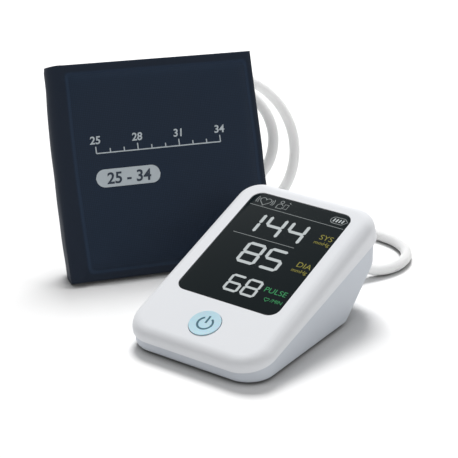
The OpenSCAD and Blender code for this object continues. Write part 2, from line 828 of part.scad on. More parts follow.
module pump_head() {
    color([0.9, 0.88, 0.8]) difference() {
        union() {
            along_pump(head_x) cylinder(r = head_r, h = head_l);
            along_pump(head_x + head_l) translate([-nozzle_up, 0, 0])
                cylinder(r = nozzle_r, h = nozzle_l);
        }
        along_pump(head_x - over) cylinder(r = shaft_r + slack, h = head_wall + 2 * over);
        along_pump(head_x + head_wall) cylinder(r = crank_disc_r + crank + 1.5, h = crank_room);
        along_pump(head_rib_x) cylinder(r = head_r - 3, h = air_room);
        along_pump(head_rib_x + air_room - over) translate([-nozzle_up, 0, 0])
            cylinder(r = nozzle_bore, h = head_l);
    }
}

module pump_cushions() {
    color([0.2, 0.2, 0.22]) for (x = cushion_xs) along_pump(x - cushion_l / 2) difference() {
        cylinder(r = motor_r + cushion_t, h = cushion_l);
        translate([0, 0, -over]) cylinder(r = motor_r + 0.05, h = cushion_l + 2 * over);
    }
}

// Solenoid that lets the air out of the cuff
module valve_body() {
    color([0.75, 0.77, 0.8]) on_slope(valve_s, under_n + valve_h) difference() {
        union() {
            translate([valve_x - valve_w / 2, 0, 0]) cube([valve_w, valve_l, valve_h]);
            translate([valve_x, valve_l, valve_h / 2]) rotate([-90, 0, 0])
                cylinder(r = nozzle_r, h = nozzle_l);
        }
        translate([valve_x - valve_w / 2 - over, valve_l / 2, valve_h / 2]) rotate([0, 90, 0])
            cylinder(r = plunger_r + slack, h = valve_w - valve_floor + over);
        translate([valve_x, valve_l / 2, valve_h / 2]) rotate([-90, 0, 0])
            cylinder(r = nozzle_bore, h = valve_l);
    }
}

module valve_plunger() {
    color("dimgray") on_slope(valve_s + valve_l / 2, under_n + valve_h / 2)
        translate([valve_x - valve_w / 2 - valve_out, 0, 0]) rotate([0, 90, 0]) {
            cylinder(r = plunger_r, h = valve_out + valve_w - 2 * valve_floor - valve_travel);
            translate([0, 0, -valve_head_t]) cylinder(r = valve_head_r, h = valve_head_t);
        }
}

// Return spring between the plunger's head and the valve body
module valve_spring() {
    wire_r = 0.2;
    end = wire_r + slack;
    color("silver") on_slope(valve_s + valve_l / 2, under_n + valve_h / 2)
        translate([valve_x - valve_w / 2 - valve_out + end, 0, 0]) rotate([0, 90, 0])
        tube(helix(plunger_r + 0.7, valve_out - 2 * end, 4, 8), wire_r, 4, [1, 0, 0]);
}

module pressure_sensor() {
    color([0.85, 0.85, 0.82]) on_slope(sensor_s, under_n + sensor_h) {
        translate([sensor_x - sensor_w / 2, 0, 0]) cube([sensor_w, sensor_w, sensor_h]);
        translate([sensor_x, sensor_w, sensor_h / 2]) rotate([-90, 0, 0])
            cylinder(r = nozzle_r, h = nozzle_l);
    }
}

// Joins the pump, valve, sensor and socket
module air_tee() {
    color("ivory") {
        translate([tee_x[0], tee_y, tee_z]) rotate([0, 90, 0])
            cylinder(r = tee_r, h = tee_x[1] - tee_x[0]);
        for (x = branch_x) translate([x, tee_y, branch_z]) rotate([90, 0, 0])
            cylinder(r = nozzle_r, h = tee_y - branch_y);
    }
}

function on_slope_point(x, s, n) = [x, front_y + s * ca + n * sa, front_h + s * sa - n * ca];

module air_tubes() {
    sensor_tip = on_slope_point(sensor_x, sensor_s + sensor_w + nozzle_l, under_n + sensor_h / 2);
    valve_tip = on_slope_point(valve_x, valve_s + valve_l + nozzle_l, under_n + valve_h / 2);
    pump_tip = [head_x + head_l + nozzle_l, pump_y, pump_z + 3];
    way = [0, ca, sa];
    color([0.85, 0.87, 0.88]) {
        tube([[socket_x, elbow_y, elbow_z], [socket_x, elbow_y, elbow_z + 1.5],
            [socket_x + 1.2, elbow_y, tee_z - 1.4], [socket_x + 4.5, tee_y, tee_z],
            [socket_x + 14, tee_y, tee_z], [tee_x[0], tee_y, tee_z]], tube_r, 8, [0, 1, 0]);
        tube([pump_tip, pump_tip + [2.5, 0, 0], pump_tip + [6.5, 2.5, 1.5],
            [pump_tip[0] + 8.5, tee_y - 8, tee_z - 5], [pump_tip[0] + 5, tee_y - 2, tee_z - 1],
            [pump_tip[0] - 1, tee_y, tee_z], [tee_x[1] + 3, tee_y, tee_z],
            [tee_x[1], tee_y, tee_z]], tube_r, 8);
        tube([sensor_tip, sensor_tip + 3 * way, sensor_tip + 11 * way + [4, 0, 0],
            [-17, branch_y - 13.5, branch_z + 2], [-6, branch_y - 8.5, branch_z + 1],
            [branch_x[0] - 1, branch_y - 4.5, branch_z], [branch_x[0], branch_y - 2, branch_z],
            [branch_x[0], branch_y, branch_z]], tube_r, 8);
        tube([valve_tip, valve_tip + 2 * way, valve_tip + 6 * way + [-3, 0, 0],
            [19, branch_y - 7, branch_z + 1.5], [branch_x[1] + 2.5, branch_y - 5, branch_z],
            [branch_x[1], branch_y - 2, branch_z], [branch_x[1], branch_y, branch_z]], tube_r, 8);
    }
}

// Bore for the plug through the tail, with an elbow up to the air line
module air_socket() {
    color([0.8, 0.81, 0.82]) difference() {
        union() {
            translate([socket_x, flange_y - socket_flange, socket_z]) rotate([-90, 0, 0]) {
                cylinder(r = socket_r, h = socket_face - flange_y + socket_flange);
                cylinder(r = socket_r + 0.5, h = socket_flange);
            }
            translate([socket_x, elbow_y, socket_z])
                cylinder(r = air_r + 1.3, h = elbow_z - socket_z);
        }
        translate([socket_x, socket_face - nozzle_in, socket_z]) rotate([-90, 0, 0])
            cylinder(r = socket_bore, h = nozzle_in + over);
        translate([socket_x, elbow_y, socket_z]) {
            cylinder(r = air_r, h = elbow_z);
            rotate([-90, 0, 0]) cylinder(r = air_r, h = nozzle_in);
        }
    }
}

// Right-angled plug: nozzle, body and arm
module hose_plug() {
    face = socket_face + seat;
    color([0.88, 0.88, 0.87]) difference() {
        union() {
            translate([socket_x, face - nozzle_in, socket_z]) rotate([-90, 0, 0])
                cylinder(r = socket_bore - plug_gap, h = nozzle_in + over);
            translate([socket_x, face, socket_z]) rotate([-90, 0, 0])
                cylinder(r = plug_r, h = plug_y - face);
            translate([socket_x, plug_y, socket_z]) sphere(r = plug_r);
            translate([socket_x, plug_y, socket_z]) rotate([0, 90, 0])
                cylinder(r = plug_arm_r, h = plug_arm);
        }
        translate([socket_x, face - nozzle_in + seal_y, socket_z]) rotate([-90, 0, 0])
            difference() {
                cylinder(r = socket_bore + over, h = groove_w);
                translate([0, 0, -over]) cylinder(r = groove_r, h = groove_w + 2 * over);
            }
    }
}

module plug_seal() {
    color([0.1, 0.1, 0.1])
        translate([socket_x, socket_face + seat - nozzle_in + seal_y + groove_w / 2, socket_z])
        rotate([-90, 0, 0]) rotate_extrude() translate([socket_bore - plug_gap - ring_r, 0])
        circle(ring_r, $fn = 24);
}

// From the plug to the foot of the cuff
module hose() {
    color([0.93, 0.93, 0.92]) tube(hose_path, hose_r, 12, last = len(lead));
}

// Two turns up the back of the cuff, into its port
module hose_coil() {
    color([0.93, 0.93, 0.92]) tube(hose_path, hose_r, 6, first = len(lead));
}

module at_port() {
    on_cuff() translate([port_u, cuff_t, port_v]) children();
}

// Air inlet on the back of the cuff: a welded disc and a swivelling elbow
module cuff_port() {
    color([0.8, 0.82, 0.84]) at_port() {
        rotate([-90, 0, 0]) cylinder(r = port_r, h = port_t);
        rotate([-90, 0, 0]) cylinder(r = elbow_r, h = port_reach);
        translate([0, port_reach, 0]) sphere(r = elbow_r);
        translate([0, port_reach, 0]) rotate([0, 90, 0])
            cylinder(r = port_arm_r, h = tail_u - port_u - collar_l);
    }
}

module hose_collar() {
    color([0.88, 0.88, 0.87]) at_port() translate([tail_u - port_u - collar_l, port_reach, 0])
        rotate([0, 90, 0]) cylinder(r = collar_end_r, h = collar_l);
}

// One strip of padded cloth rolled flat: front layer, round the left edge, back
// layer, round the right edge, and two inner layers
module rolled_outline() {
    translate([fold_l, 0]) square([cuff_w - fold_l, layer_t]);
    translate([fold_l, lay3]) square([turn_u - fold_l, layer_t]);
    translate([inner_u, lay1]) square([turn_u - inner_u, layer_t]);
    translate([inner_u, lay2]) square([inner_end - inner_u, layer_t]);
    half_fold(fold_l, cuff_t / 2, fold_l, -1);
    half_fold(turn_u, (lay1 + cuff_t) / 2, fold_r, 1);
    half_fold(inner_u, (lay1 + lay3 - layer_gap) / 2, fold_in, -1);
}

module half_fold(u, d, r, side) {
    translate([u, d]) difference() {
        circle(r);
        circle(r - layer_t);
        translate([side > 0 ? -2 * r : 0, -2 * r]) square([2 * r, 4 * r]);
    }
}

// Sections of the roll up the cuff, each drawn out forward from the back face, most at the foot
module splayed() {
    foot = 1 + cuff_splay / cuff_t * (1 + below_table / cuff_h);
    on_cuff() translate([0, cuff_t, -below_table])
        linear_extrude(cuff_h + below_table, scale = [1, 1 / foot], slices = 1)
            scale([1, foot]) translate([0, -cuff_t]) children();
}

module cuff_sleeve() {
    color([0.13, 0.17, 0.23]) difference() {
        splayed() rolled_outline();
        translate([-3 * cuff_w, -cuff_w, -cuff_w]) cube([4 * cuff_w, 4 * cuff_w, cuff_w]);
        bladder_block(0);
    }
}

module bladder_block(gap) {
    on_cuff() translate([pocket_side + gap, lay3 + skin + gap, pocket_v[0] + gap])
        cube([cuff_w - 2 * (pocket_side + gap), layer_t - 2 * (skin + gap),
            pocket_v[1] - pocket_v[0] - 2 * gap]);
}

module bladder() {
    color([0.5, 0.5, 0.45]) bladder_block(pad_gap);
}

// Under the free end of the front layer
module hook_patch() {
    color([0.2, 0.22, 0.26]) intersection() {
        splayed() translate([cuff_w - free_edge - hook_w, layer_t]) square([hook_w, patch_t]);
        on_cuff() translate([0, -cuff_t, hook_edge])
            cube([cuff_w, 3 * cuff_t, cuff_h - 2 * hook_edge]);
    }
}

// Soft pile that the hooks close on, on the back
module loop_patch() {
    color([0.16, 0.2, 0.27]) on_cuff() translate([fold_l + loop_edge[0], cuff_t, loop_edge[1]])
        cube([loop_w, loop_t, cuff_h - loop_edge[1] - loop_edge[2]]);
}

top_housing();
base_housing();
display_lens();
lcd_glass();
lcd_frame();
lcd_ribbon();
circuit_board();
board_chips();
buzzer();
tact_switch();
tact_plunger();
power_button();
board_screws();
housing_screws();
feet();
battery_door();
batteries();
battery_springs();
battery_plates();
power_jack();
pump_motor();
pump_rotor();
pump_head();
pump_cushions();
valve_body();
valve_plunger();
valve_spring();
pressure_sensor();
air_tee();
air_tubes();
air_socket();
hose_plug();
plug_seal();
hose();
hose_coil();
hose_collar();
cuff_port();
cuff_sleeve();
bladder();
hook_patch();
loop_patch();
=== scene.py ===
"""Upper-arm blood pressure monitor, its air hose and its folded cuff, dressed over the
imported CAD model. Metres, +Z up: the origin is on the table under the monitor."""

import math

import bpy
from mathutils import Matrix, Vector


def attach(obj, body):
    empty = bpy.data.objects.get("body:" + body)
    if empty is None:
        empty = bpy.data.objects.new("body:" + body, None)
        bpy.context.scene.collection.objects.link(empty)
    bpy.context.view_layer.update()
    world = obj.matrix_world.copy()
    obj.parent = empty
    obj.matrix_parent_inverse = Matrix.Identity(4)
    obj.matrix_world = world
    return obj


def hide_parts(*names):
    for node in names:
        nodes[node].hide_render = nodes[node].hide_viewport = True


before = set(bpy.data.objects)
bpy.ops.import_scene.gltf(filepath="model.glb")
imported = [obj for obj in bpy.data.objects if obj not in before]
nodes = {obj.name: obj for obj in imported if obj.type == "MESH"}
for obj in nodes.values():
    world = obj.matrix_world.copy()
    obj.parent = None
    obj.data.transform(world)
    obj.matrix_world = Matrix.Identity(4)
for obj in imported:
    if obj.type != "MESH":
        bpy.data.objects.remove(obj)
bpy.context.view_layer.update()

# ---------------------------------------------------------------- Camera
# A long lens from the front right and above, as the product was photographed.
camera = bpy.data.objects.new("camera", bpy.data.cameras.new("camera"))
bpy.context.scene.collection.objects.link(camera)
bpy.context.scene.camera = camera
camera.data.sensor_width = 36
camera.data.lens = 123.7
camera.data.clip_start = 0.05
camera.data.clip_end = 20
camera.location = (0.4937, -0.7387, 0.4661)
camera.rotation_euler = (math.radians(65.745), 0, math.radians(34.836))
bpy.context.scene.view_settings.view_transform = "Standard"


# ---------------------------------------------------------------- Air hose
# One length of soft grey-white PVC tube, extruded and matt. It is pushed on the
# plug's arm, lies on the table in two bends, and then stands in two turns
# against the back of the cuff, up to the cuff's port.
def tint(code):
    """An sRGB hex colour as the linear colour that a shader takes."""
    parts = [int(code[i:i + 2], 16) / 255 for i in (1, 3, 5)]
    return [c / 12.92 if c <= 0.04045 else ((c + 0.055) / 1.055) ** 2.4 for c in parts] + [1.0]


def bare(owner):
    """Empties the nodes of a new material or world, and returns it."""
    owner.use_nodes = True
    owner.node_tree.nodes.clear()
    return owner


def add_node(owner, kind, links=(), **values):
    """Adds a shader node. A value's name is a setting of the node or one of its sockets,
    with _ for a space, and each link is (output, name or number of the input)."""
    node = owner.node_tree.nodes.new(kind)
    for name, value in values.items():
        if hasattr(node, name):
            setattr(node, name, value)
        else:
            node.inputs[name.replace("_", " ")].default_value = value
    for output, name in links:
        owner.node_tree.links.new(output, node.inputs[name])
    return node


def surface(name, dark, light, grain, roughness=(0.4, 0.5), bump=0.1, metallic=0.0,
            cloud=0.02, **shader):
    """A moulded or rolled finish: slow clouds between two near shades, a fine grain that
    moves the roughness, and the same grain as relief. grain and cloud are in metres."""
    material = bare(bpy.data.materials.new(name))
    place = add_node(material, "ShaderNodeTexCoord").outputs["Object"]
    clouds = add_node(material, "ShaderNodeTexNoise", [(place, "Vector")], Scale=1 / cloud,
                      Detail=3.0)
    fine = add_node(material, "ShaderNodeTexNoise", [(place, "Vector")], Scale=1 / grain,
                    Detail=2.0)
    colour = add_node(material, "ShaderNodeMix", [(clouds.outputs["Fac"], 0)],
                      data_type="RGBA")
    colour.inputs[6].default_value = tint(dark)
    colour.inputs[7].default_value = tint(light)
    shine = add_node(material, "ShaderNodeMapRange", [(fine.outputs["Fac"], 0)],
                     To_Min=roughness[0], To_Max=roughness[1])
    relief = add_node(material, "ShaderNodeBump", [(fine.outputs["Fac"], "Height")],
                      Strength=bump, Distance=grain * 0.5)
    body = add_node(material, "ShaderNodeBsdfPrincipled",
                    [(colour.outputs[2], "Base Color"), (shine.outputs[0], "Roughness"),
                     (relief.outputs[0], "Normal")], Metallic=metallic, **shader)
    add_node(material, "ShaderNodeOutputMaterial", [(body.outputs[0], "Surface")])
    return material


def paint(piece, material):
    """Gives a piece or a CAD node one material all over."""
    target = nodes[piece] if isinstance(piece, str) else piece
    if not target.material_slots:
        target.data.materials.append(material)
    for slot in target.material_slots:
        slot.material = material


CUFF_TURN, CUFF_LEAN = math.radians(51.3), math.radians(24.8)
CUFF_LEFT, CUFF_FRONT = 133.2, 24.4


def on_cuff(u, d, v):
    """Across, through and up the standing cuff, in millimetres, to a place in metres."""
    back = d * math.cos(CUFF_LEAN) + v * math.sin(CUFF_LEAN)
    return Vector((u * math.cos(CUFF_TURN) - back * math.sin(CUFF_TURN) - CUFF_LEFT,
                   u * math.sin(CUFF_TURN) + back * math.cos(CUFF_TURN) - CUFF_FRONT,
                   v * math.cos(CUFF_LEAN) - d * math.sin(CUFF_LEAN))) / 1000


def smooth_line(points, steps):
    """A curve through the points, with so many steps from each to the next."""
    line = []
    for i in range(len(points) - 1):
        a, b = points[max(i - 1, 0)], points[i]
        c, d = points[i + 1], points[min(i + 2, len(points) - 1)]
        ab, bc, cd = [max((q - p).length, 1e-6) ** 0.5 for p, q in ((a, b), (b, c), (c, d))]
        into = ((b - a) / ab - (c - a) / (ab + bc) + (c - b) / bc) * bc
        out = ((c - b) / bc - (d - b) / (bc + cd) + (d - c) / cd) * bc
        for k in range(steps):
            t = k / steps
            line.append((2 * t**3 - 3 * t**2 + 1) * b + (t**3 - 2 * t**2 + t) * into
                        + (3 * t**2 - 2 * t**3) * c + (t**3 - t**2) * out)
    return line + [points[-1].copy()]


def round_tube(name, points, radius):
    """A curve object that follows the points as one open spline with closed ends."""
    curve = bpy.data.curves.new(name, "CURVE")
    curve.dimensions = "3D"
    curve.bevel_depth = radius
    curve.bevel_resolution = 6
    curve.use_fill_caps = True
    spline = curve.splines.new("POLY")
    spline.points.add(len(points) - 1)
    for point, place in zip(spline.points, points):
        point.co = (*place, 1)
    spline.use_smooth = True
    piece = bpy.data.objects.new(name, curve)
    bpy.context.scene.collection.objects.link(piece)
    return piece


# The hose lies 0.15 mm clear of the table. The coil's middle and half-width are in the
# cuff's frame, with how much each turn moves across, rises and draws in, how far out the
# first turn starts, and the straight end in the port.
HOSE_R, ON_TABLE, PORT_D = 3.75, 3.9, 21.5
COIL_U, COIL_V, COIL_R = 123.4, 78.1, 54
COIL_SHIFT, COIL_LIFT, COIL_DRAW, COIL_CLOSE, COIL_TAIL = 3.3, 6.5, 14.1, 8, 8
route = [Vector(p) / 1000 for p in
         [(-15, 86, 24), (-7.5, 86, 24), (5, 87, 20.5), (16, 91, 12.5), (26, 99.5, 6.2),
          (33, 110, 4.1)]
         + [(x, y, ON_TABLE) for x, y in
            [(36, 122), (34, 135), (27, 145.5), (16, 152.5), (4, 155), (-11, 155), (-25, 153),
             (-39, 148.5), (-51, 141), (-61, 131), (-70, 120), (-78, 110)]]]
for step in range(0, 721, 15):
    angle = math.radians(step)
    turn = (step - 270) / 360
    half = COIL_R - COIL_DRAW * turn
    through = PORT_D + COIL_CLOSE * max(0, 1 - turn)
    floor_v = (ON_TABLE + through * math.sin(CUFF_LEAN)) / math.cos(CUFF_LEAN)
    middle = COIL_V + COIL_LIFT * turn
    drop = middle - floor_v if step < 90 else half
    route.append(on_cuff(COIL_U - COIL_SHIFT * turn - half * math.sin(angle), through,
                         middle - math.cos(angle) * drop))
route.append(on_cuff(COIL_U - COIL_SHIFT * turn - COIL_TAIL, PORT_D, middle - half))
air_hose = round_tube("air_hose", smooth_line(route, 4), HOSE_R / 1000)
hose_rubber = surface("soft PVC tube, extruded matt", "#DADBDB", "#E1E1E0", 0.0009,
                      roughness=(0.42, 0.55), bump=0.05, IOR=1.5, Subsurface_Weight=0.9,
                      Subsurface_Scale=0.02, Subsurface_Radius=(1, 1, 1),
                      Specular_IOR_Level=0.3)
paint(air_hose, hose_rubber)
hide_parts("hose", "hose_coil")
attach(air_hose, "monitor")


# ---------------------------------------------------------------- Floor and light
# A pale sweep, lit by a broad soft box high up behind and two weak ones at the right and
# in front. Its colour darkens where something all but touches it: a painted contact shadow.
bpy.ops.object.select_all(action="DESELECT")
bpy.ops.mesh.primitive_plane_add(size=2.6)
floor = bpy.context.object
floor.name = "floor"
sweep = bare(bpy.data.materials.new("painted white sweep"))
seen = add_node(sweep, "ShaderNodeLightPath")
direct = add_node(sweep, "ShaderNodeMath", [(seen.outputs["Is Camera Ray"], 0),
                                            (seen.outputs["Is Glossy Ray"], 1)],
                  operation="MAXIMUM")
# Painted contact shadow: where ambient occlusion finds something close, the sweep's colour darkens
# towards #6C6C6C.
near = add_node(sweep, "ShaderNodeAmbientOcclusion", Distance=0.028, samples=8)
touch = add_node(sweep, "ShaderNodeMapRange", [(near.outputs["AO"], 0)], From_Min=0.12,
                 From_Max=0.62)
tone = add_node(sweep, "ShaderNodeMix", [(touch.outputs[0], 0)], data_type="RGBA")
tone.inputs[6].default_value = tint("#6C6C6C")
tone.inputs[7].default_value = tint("#F4F4F4")
wall_paint = add_node(sweep, "ShaderNodeBsdfDiffuse", [(tone.outputs[2], "Color")])
glow = add_node(sweep, "ShaderNodeEmission", [(direct.outputs[0], "Strength")],
                Color=(0.02, 0.02, 0.02, 1))
both = add_node(sweep, "ShaderNodeAddShader", [(wall_paint.outputs[0], 0),
                                               (glow.outputs[0], 1)])
add_node(sweep, "ShaderNodeOutputMaterial", [(both.outputs[0], "Surface")])
paint(floor, sweep)

world = bare(bpy.data.worlds.new("studio"))
bpy.context.scene.world = world
path = add_node(world, "ShaderNodeLightPath")
shown = add_node(world, "ShaderNodeMath", [(path.outputs["Is Camera Ray"], 0),
                                           (path.outputs["Is Transmission Ray"], 1)],
                 operation="MAXIMUM")
clear = add_node(world, "ShaderNodeMath", [(shown.outputs[0], 0),
                                           (path.outputs["Is Glossy Ray"], 1)],
                 operation="MAXIMUM")
strength = add_node(world, "ShaderNodeMapRange", [(clear.outputs[0], 0)], To_Min=0.24)
background = add_node(world, "ShaderNodeBackground", [(strength.outputs[0], "Strength")],
                      Color=(1, 1, 1, 1))
add_node(world, "ShaderNodeOutputWorld", [(background.outputs[0], "Surface")])

AIM = Vector((0, 0, 0.03))
for name, place, size, power in (("soft box above", (-0.91, 1.31, 2.32), 1.05, 84.0),
                                 ("soft box right", (1.5, -0.3, 0.7), 0.9, 5.0),
                                 ("soft box front", (-0.7, -1.4, 0.9), 1.0, 3.4)):
    lamp = bpy.data.objects.new(name, bpy.data.lights.new(name, "AREA"))
    lamp.data.size = size
    lamp.data.energy = power
    lamp.location = place
    lamp.visible_glossy = False
    lamp.rotation_euler = (AIM - Vector(place)).to_track_quat("-Z", "Y").to_euler()
    bpy.context.scene.collection.objects.link(lamp)


# ---------------------------------------------------------------- Case
# Two shells of injection-moulded ABS with a fine spark-eroded texture: a white one on
# top and one below whose pale blue-grey is painted shade, held by four screws from underneath.
shell_white = surface("white ABS, moulded with a fine texture", "#DDDFE3", "#E2E4E7", 0.0006,
                      roughness=(0.36, 0.46), bump=0.05, cloud=0.05, IOR=1.53)
# The lower shell's blue-grey, darker than the top's white, is painted shade: its walls stand in
# shade.
shell_in_painted_shade = surface("ABS in painted shade, moulded with a fine texture", "#C3C9D1", "#CACFD6", 0.0006,
                     roughness=(0.4, 0.5), bump=0.05, cloud=0.05, IOR=1.53)
paint("top_housing", shell_white)
paint("base_housing", shell_in_painted_shade)
paint("battery_door", shell_in_painted_shade)
paint("feet", surface("moulded rubber, matt", "#6C6F73", "#777A7E", 0.0008,
                      roughness=(0.75, 0.9), bump=0.25, IOR=1.5))
screw_steel = surface("zinc-plated steel screws", "#A9ACAE", "#C0C3C4", 0.0004,
                      roughness=(0.25, 0.4), bump=0.08, metallic=1.0)
paint("housing_screws", screw_steel)
paint("board_screws", screw_steel)


# ---------------------------------------------------------------- Display window
# A smoked acrylic plate with a hard coat, glued in flush. Its cut edge is bevelled. It is
# so dark that only lit marks show, so the marks lie on its face and the plate is opaque.
SLOPE, FRONT_Y, FRONT_Z = math.radians(19.5), -76.1914, 15.9
to_slope = (Matrix.Translation(Vector((0, FRONT_Y, FRONT_Z)) / 1000)
            @ Matrix.Rotation(SLOPE, 4, "X") @ Matrix.Diagonal((0.001, 0.001, 0.001, 1)))


def pick(piece):
    """Makes a piece the only one selected, and the active one."""
    bpy.ops.object.select_all(action="DESELECT")
    piece.select_set(True)
    bpy.context.view_layer.objects.active = piece


def face_outward():
    """Faces the edited mesh outwards all over, and leaves edit mode."""
    bpy.ops.mesh.select_all(action="SELECT")
    bpy.ops.mesh.normals_make_consistent(inside=False)
    bpy.ops.object.mode_set(mode="OBJECT")


def settle(piece, matrix):
    """Puts a piece made in millimetres in its place, in its mesh."""
    piece.data.transform(matrix @ piece.matrix_basis)
    piece.matrix_basis = Matrix.Identity(4)


def start(maker, name, **values):
    """Adds a primitive with nothing else selected, and names it."""
    bpy.ops.object.select_all(action="DESELECT")
    maker(**values)
    piece = bpy.context.object
    piece.name = name
    return piece


LENS_W, LENS_L, LENS_S, LENS_R, LENS_T, LENS_N = 74.4, 97.4, 43.3, 7.0, 1.4, 0.2
window = start(bpy.ops.mesh.primitive_plane_add, "display_window", size=1)
bpy.ops.object.mode_set(mode="EDIT")
bpy.ops.transform.resize(value=(LENS_W, LENS_L, 1))
bpy.ops.mesh.bevel(offset=LENS_R, segments=12, affect="VERTICES")
bpy.ops.mesh.extrude_region_move(TRANSFORM_OT_translate={"value": (0, 0, -LENS_T)})
bpy.ops.object.mode_set(mode="OBJECT")
for edge in window.data.edges:
    edge.select = all(abs(window.data.vertices[v].co.z) < 0.01 for v in edge.vertices)
bpy.ops.object.mode_set(mode="EDIT")
bpy.ops.mesh.select_mode(type="EDGE")
bpy.ops.mesh.bevel(offset=0.3, segments=3, affect="EDGES")
face_outward()
settle(window, to_slope @ Matrix.Translation((0, LENS_S + LENS_L / 2, -LENS_N)))
pick(window)
bpy.ops.object.shade_smooth_by_angle(angle=math.radians(35))
smoked_acrylic = surface("smoked acrylic with a hard coat", "#0A1316", "#0E181B", 0.004,
                         roughness=(0.10, 0.13), bump=0.0, cloud=0.08, IOR=1.49,
                         Specular_IOR_Level=0.1)
paint(window, smoked_acrylic)
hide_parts("display_lens")
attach(window, "monitor")


# ---------------------------------------------------------------- Display
# A negative liquid crystal: lit segments on black, in light grey, with the unit
# captions tinted by a film behind the glass. Everything lit is 0.05 or 0.06 mm thick and
# lies on the window's face.
MARKS_N = -LENS_N + 0.01


def lit(name, code):
    """A lit segment: its own light under a glossy face."""
    material = bare(bpy.data.materials.new(name))
    place = add_node(material, "ShaderNodeTexCoord").outputs["Object"]
    spread = add_node(material, "ShaderNodeTexNoise", [(place, "Vector")], Scale=160.0)
    level = add_node(material, "ShaderNodeMapRange", [(spread.outputs["Fac"], 0)],
                     To_Min=0.94, To_Max=1.06)
    body = add_node(material, "ShaderNodeBsdfPrincipled",
                    [(level.outputs[0], "Emission Strength")], Base_Color=tint("#15191C"),
                    Roughness=0.12, Specular_IOR_Level=0.12, Emission_Color=tint(code))
    add_node(material, "ShaderNodeOutputMaterial", [(body.outputs[0], "Surface")])
    return material


def join(name, parts):
    """Joins flat parts into one piece."""
    bpy.ops.object.select_all(action="DESELECT")
    for part in parts:
        part.select_set(True)
    bpy.context.view_layer.objects.active = parts[0]
    if len(parts) > 1:
        bpy.ops.object.join()
    parts[0].name = name
    return parts[0]


def copy_of(piece, matrix):
    """A copy with its own mesh, moved in its mesh."""
    other = piece.copy()
    other.data = piece.data.copy()
    other.data.transform(matrix)
    bpy.context.scene.collection.objects.link(other)
    return other


def slanted(lean):
    """Leans upright figures to the right, by so much of their height."""
    matrix = Matrix.Identity(4)
    matrix[0][1] = lean
    return matrix


SEGMENTS = {"1": "bc", "4": "bcfg", "5": "acdfg", "6": "acdefg", "8": "abcdefg"}


def number(name, figures, right, bottom, high, wide, pitch, stroke, lean):
    """Seven-segment figures whose last one ends at right, in millimetres on the slope."""
    parts = []
    upright = high / 2 - stroke / 2
    bar = {}
    for kind, long in (("up", upright), ("across", wide - stroke)):
        shape = start(bpy.ops.mesh.primitive_plane_add, "segment", size=1)
        bpy.ops.object.mode_set(mode="EDIT")
        size = (stroke, long - 0.25, 1) if kind == "up" else (long - 0.25, stroke, 1)
        bpy.ops.transform.resize(value=size)
        bpy.ops.mesh.bevel(offset=stroke * 0.42, segments=1, affect="VERTICES")
        bpy.ops.mesh.extrude_region_move(TRANSFORM_OT_translate={"value": (0, 0, 0.05)})
        face_outward()
        bar[kind] = shape
    left, mid, over = stroke / 2, wide / 2, wide - stroke / 2
    low, centre, top = stroke / 2, high / 2, high - stroke / 2
    places = {"a": ("across", mid, top), "g": ("across", mid, centre), "d": ("across", mid, low),
              "f": ("up", left, (centre + top) / 2), "b": ("up", over, (centre + top) / 2),
              "e": ("up", left, (centre + low) / 2), "c": ("up", over, (centre + low) / 2)}
    for k, figure in enumerate(reversed(figures)):
        for letter in SEGMENTS[figure]:
            kind, x, y = places[letter]
            parts.append(copy_of(bar[kind], Matrix.Translation(
                (right - wide - k * pitch + x, y, 0))))
    for shape in bar.values():
        bpy.data.objects.remove(shape)
    piece = join(name, parts)
    settle(piece, to_slope @ Matrix.Translation((0, bottom, MARKS_N)) @ slanted(-lean))
    return piece


def lettering(name, words, align, high, depth, weight):
    """Words as a flat mesh, in millimetres. A capital is 0.72 of the font's size."""
    piece = start(bpy.ops.object.text_add, name)
    piece.data.body = words
    piece.data.align_x = align
    piece.data.size = high / 0.72
    piece.data.extrude = depth / 2
    piece.data.offset = weight * high
    bpy.ops.object.convert(target="MESH")
    return piece


def caption(name, words, right, bottom, high):
    """Words set flat on the display, in millimetres on the slope, ending at right."""
    piece = lettering(name, words, "RIGHT", high, 0.05, -0.012)
    settle(piece, to_slope @ Matrix.Translation((right, bottom, MARKS_N + 0.025)))
    return piece


def drawn(name, lines, width, place):
    """Flat lines of one width: each is a list of points in millimetres, closed when its
    last point is its first. place maps a point to the matrix's own plane."""
    parts = []
    for points in lines:
        closed = points[0] == points[-1]
        curve = bpy.data.curves.new(name, "CURVE")
        curve.dimensions = "3D"
        curve.bevel_depth = width / 2
        curve.bevel_resolution = 1
        curve.use_fill_caps = True
        spline = curve.splines.new("POLY")
        kept = points[:-1] if closed else points
        spline.points.add(len(kept) - 1)
        for point, (x, y) in zip(spline.points, kept):
            point.co = (x, y, 0, 1)
        spline.use_cyclic_u = closed
        part = bpy.data.objects.new(name, curve)
        bpy.context.scene.collection.objects.link(part)
        pick(part)
        bpy.ops.object.convert(target="MESH")
        parts.append(bpy.context.object)
    piece = join(name, parts)
    settle(piece, place @ Matrix.Diagonal((1, 1, 0.06 / width, 1)))
    return piece


def arc(x, y, radius, first, last, count=24):
    """Points of an arc, with the angles in degrees."""
    points = [(x + radius * math.cos(math.radians(first + (last - first) * k / count)),
               y + radius * math.sin(math.radians(first + (last - first) * k / count)))
              for k in range(count + 1)]
    return points[:-1] + [points[0]] if last - first == 360 else points


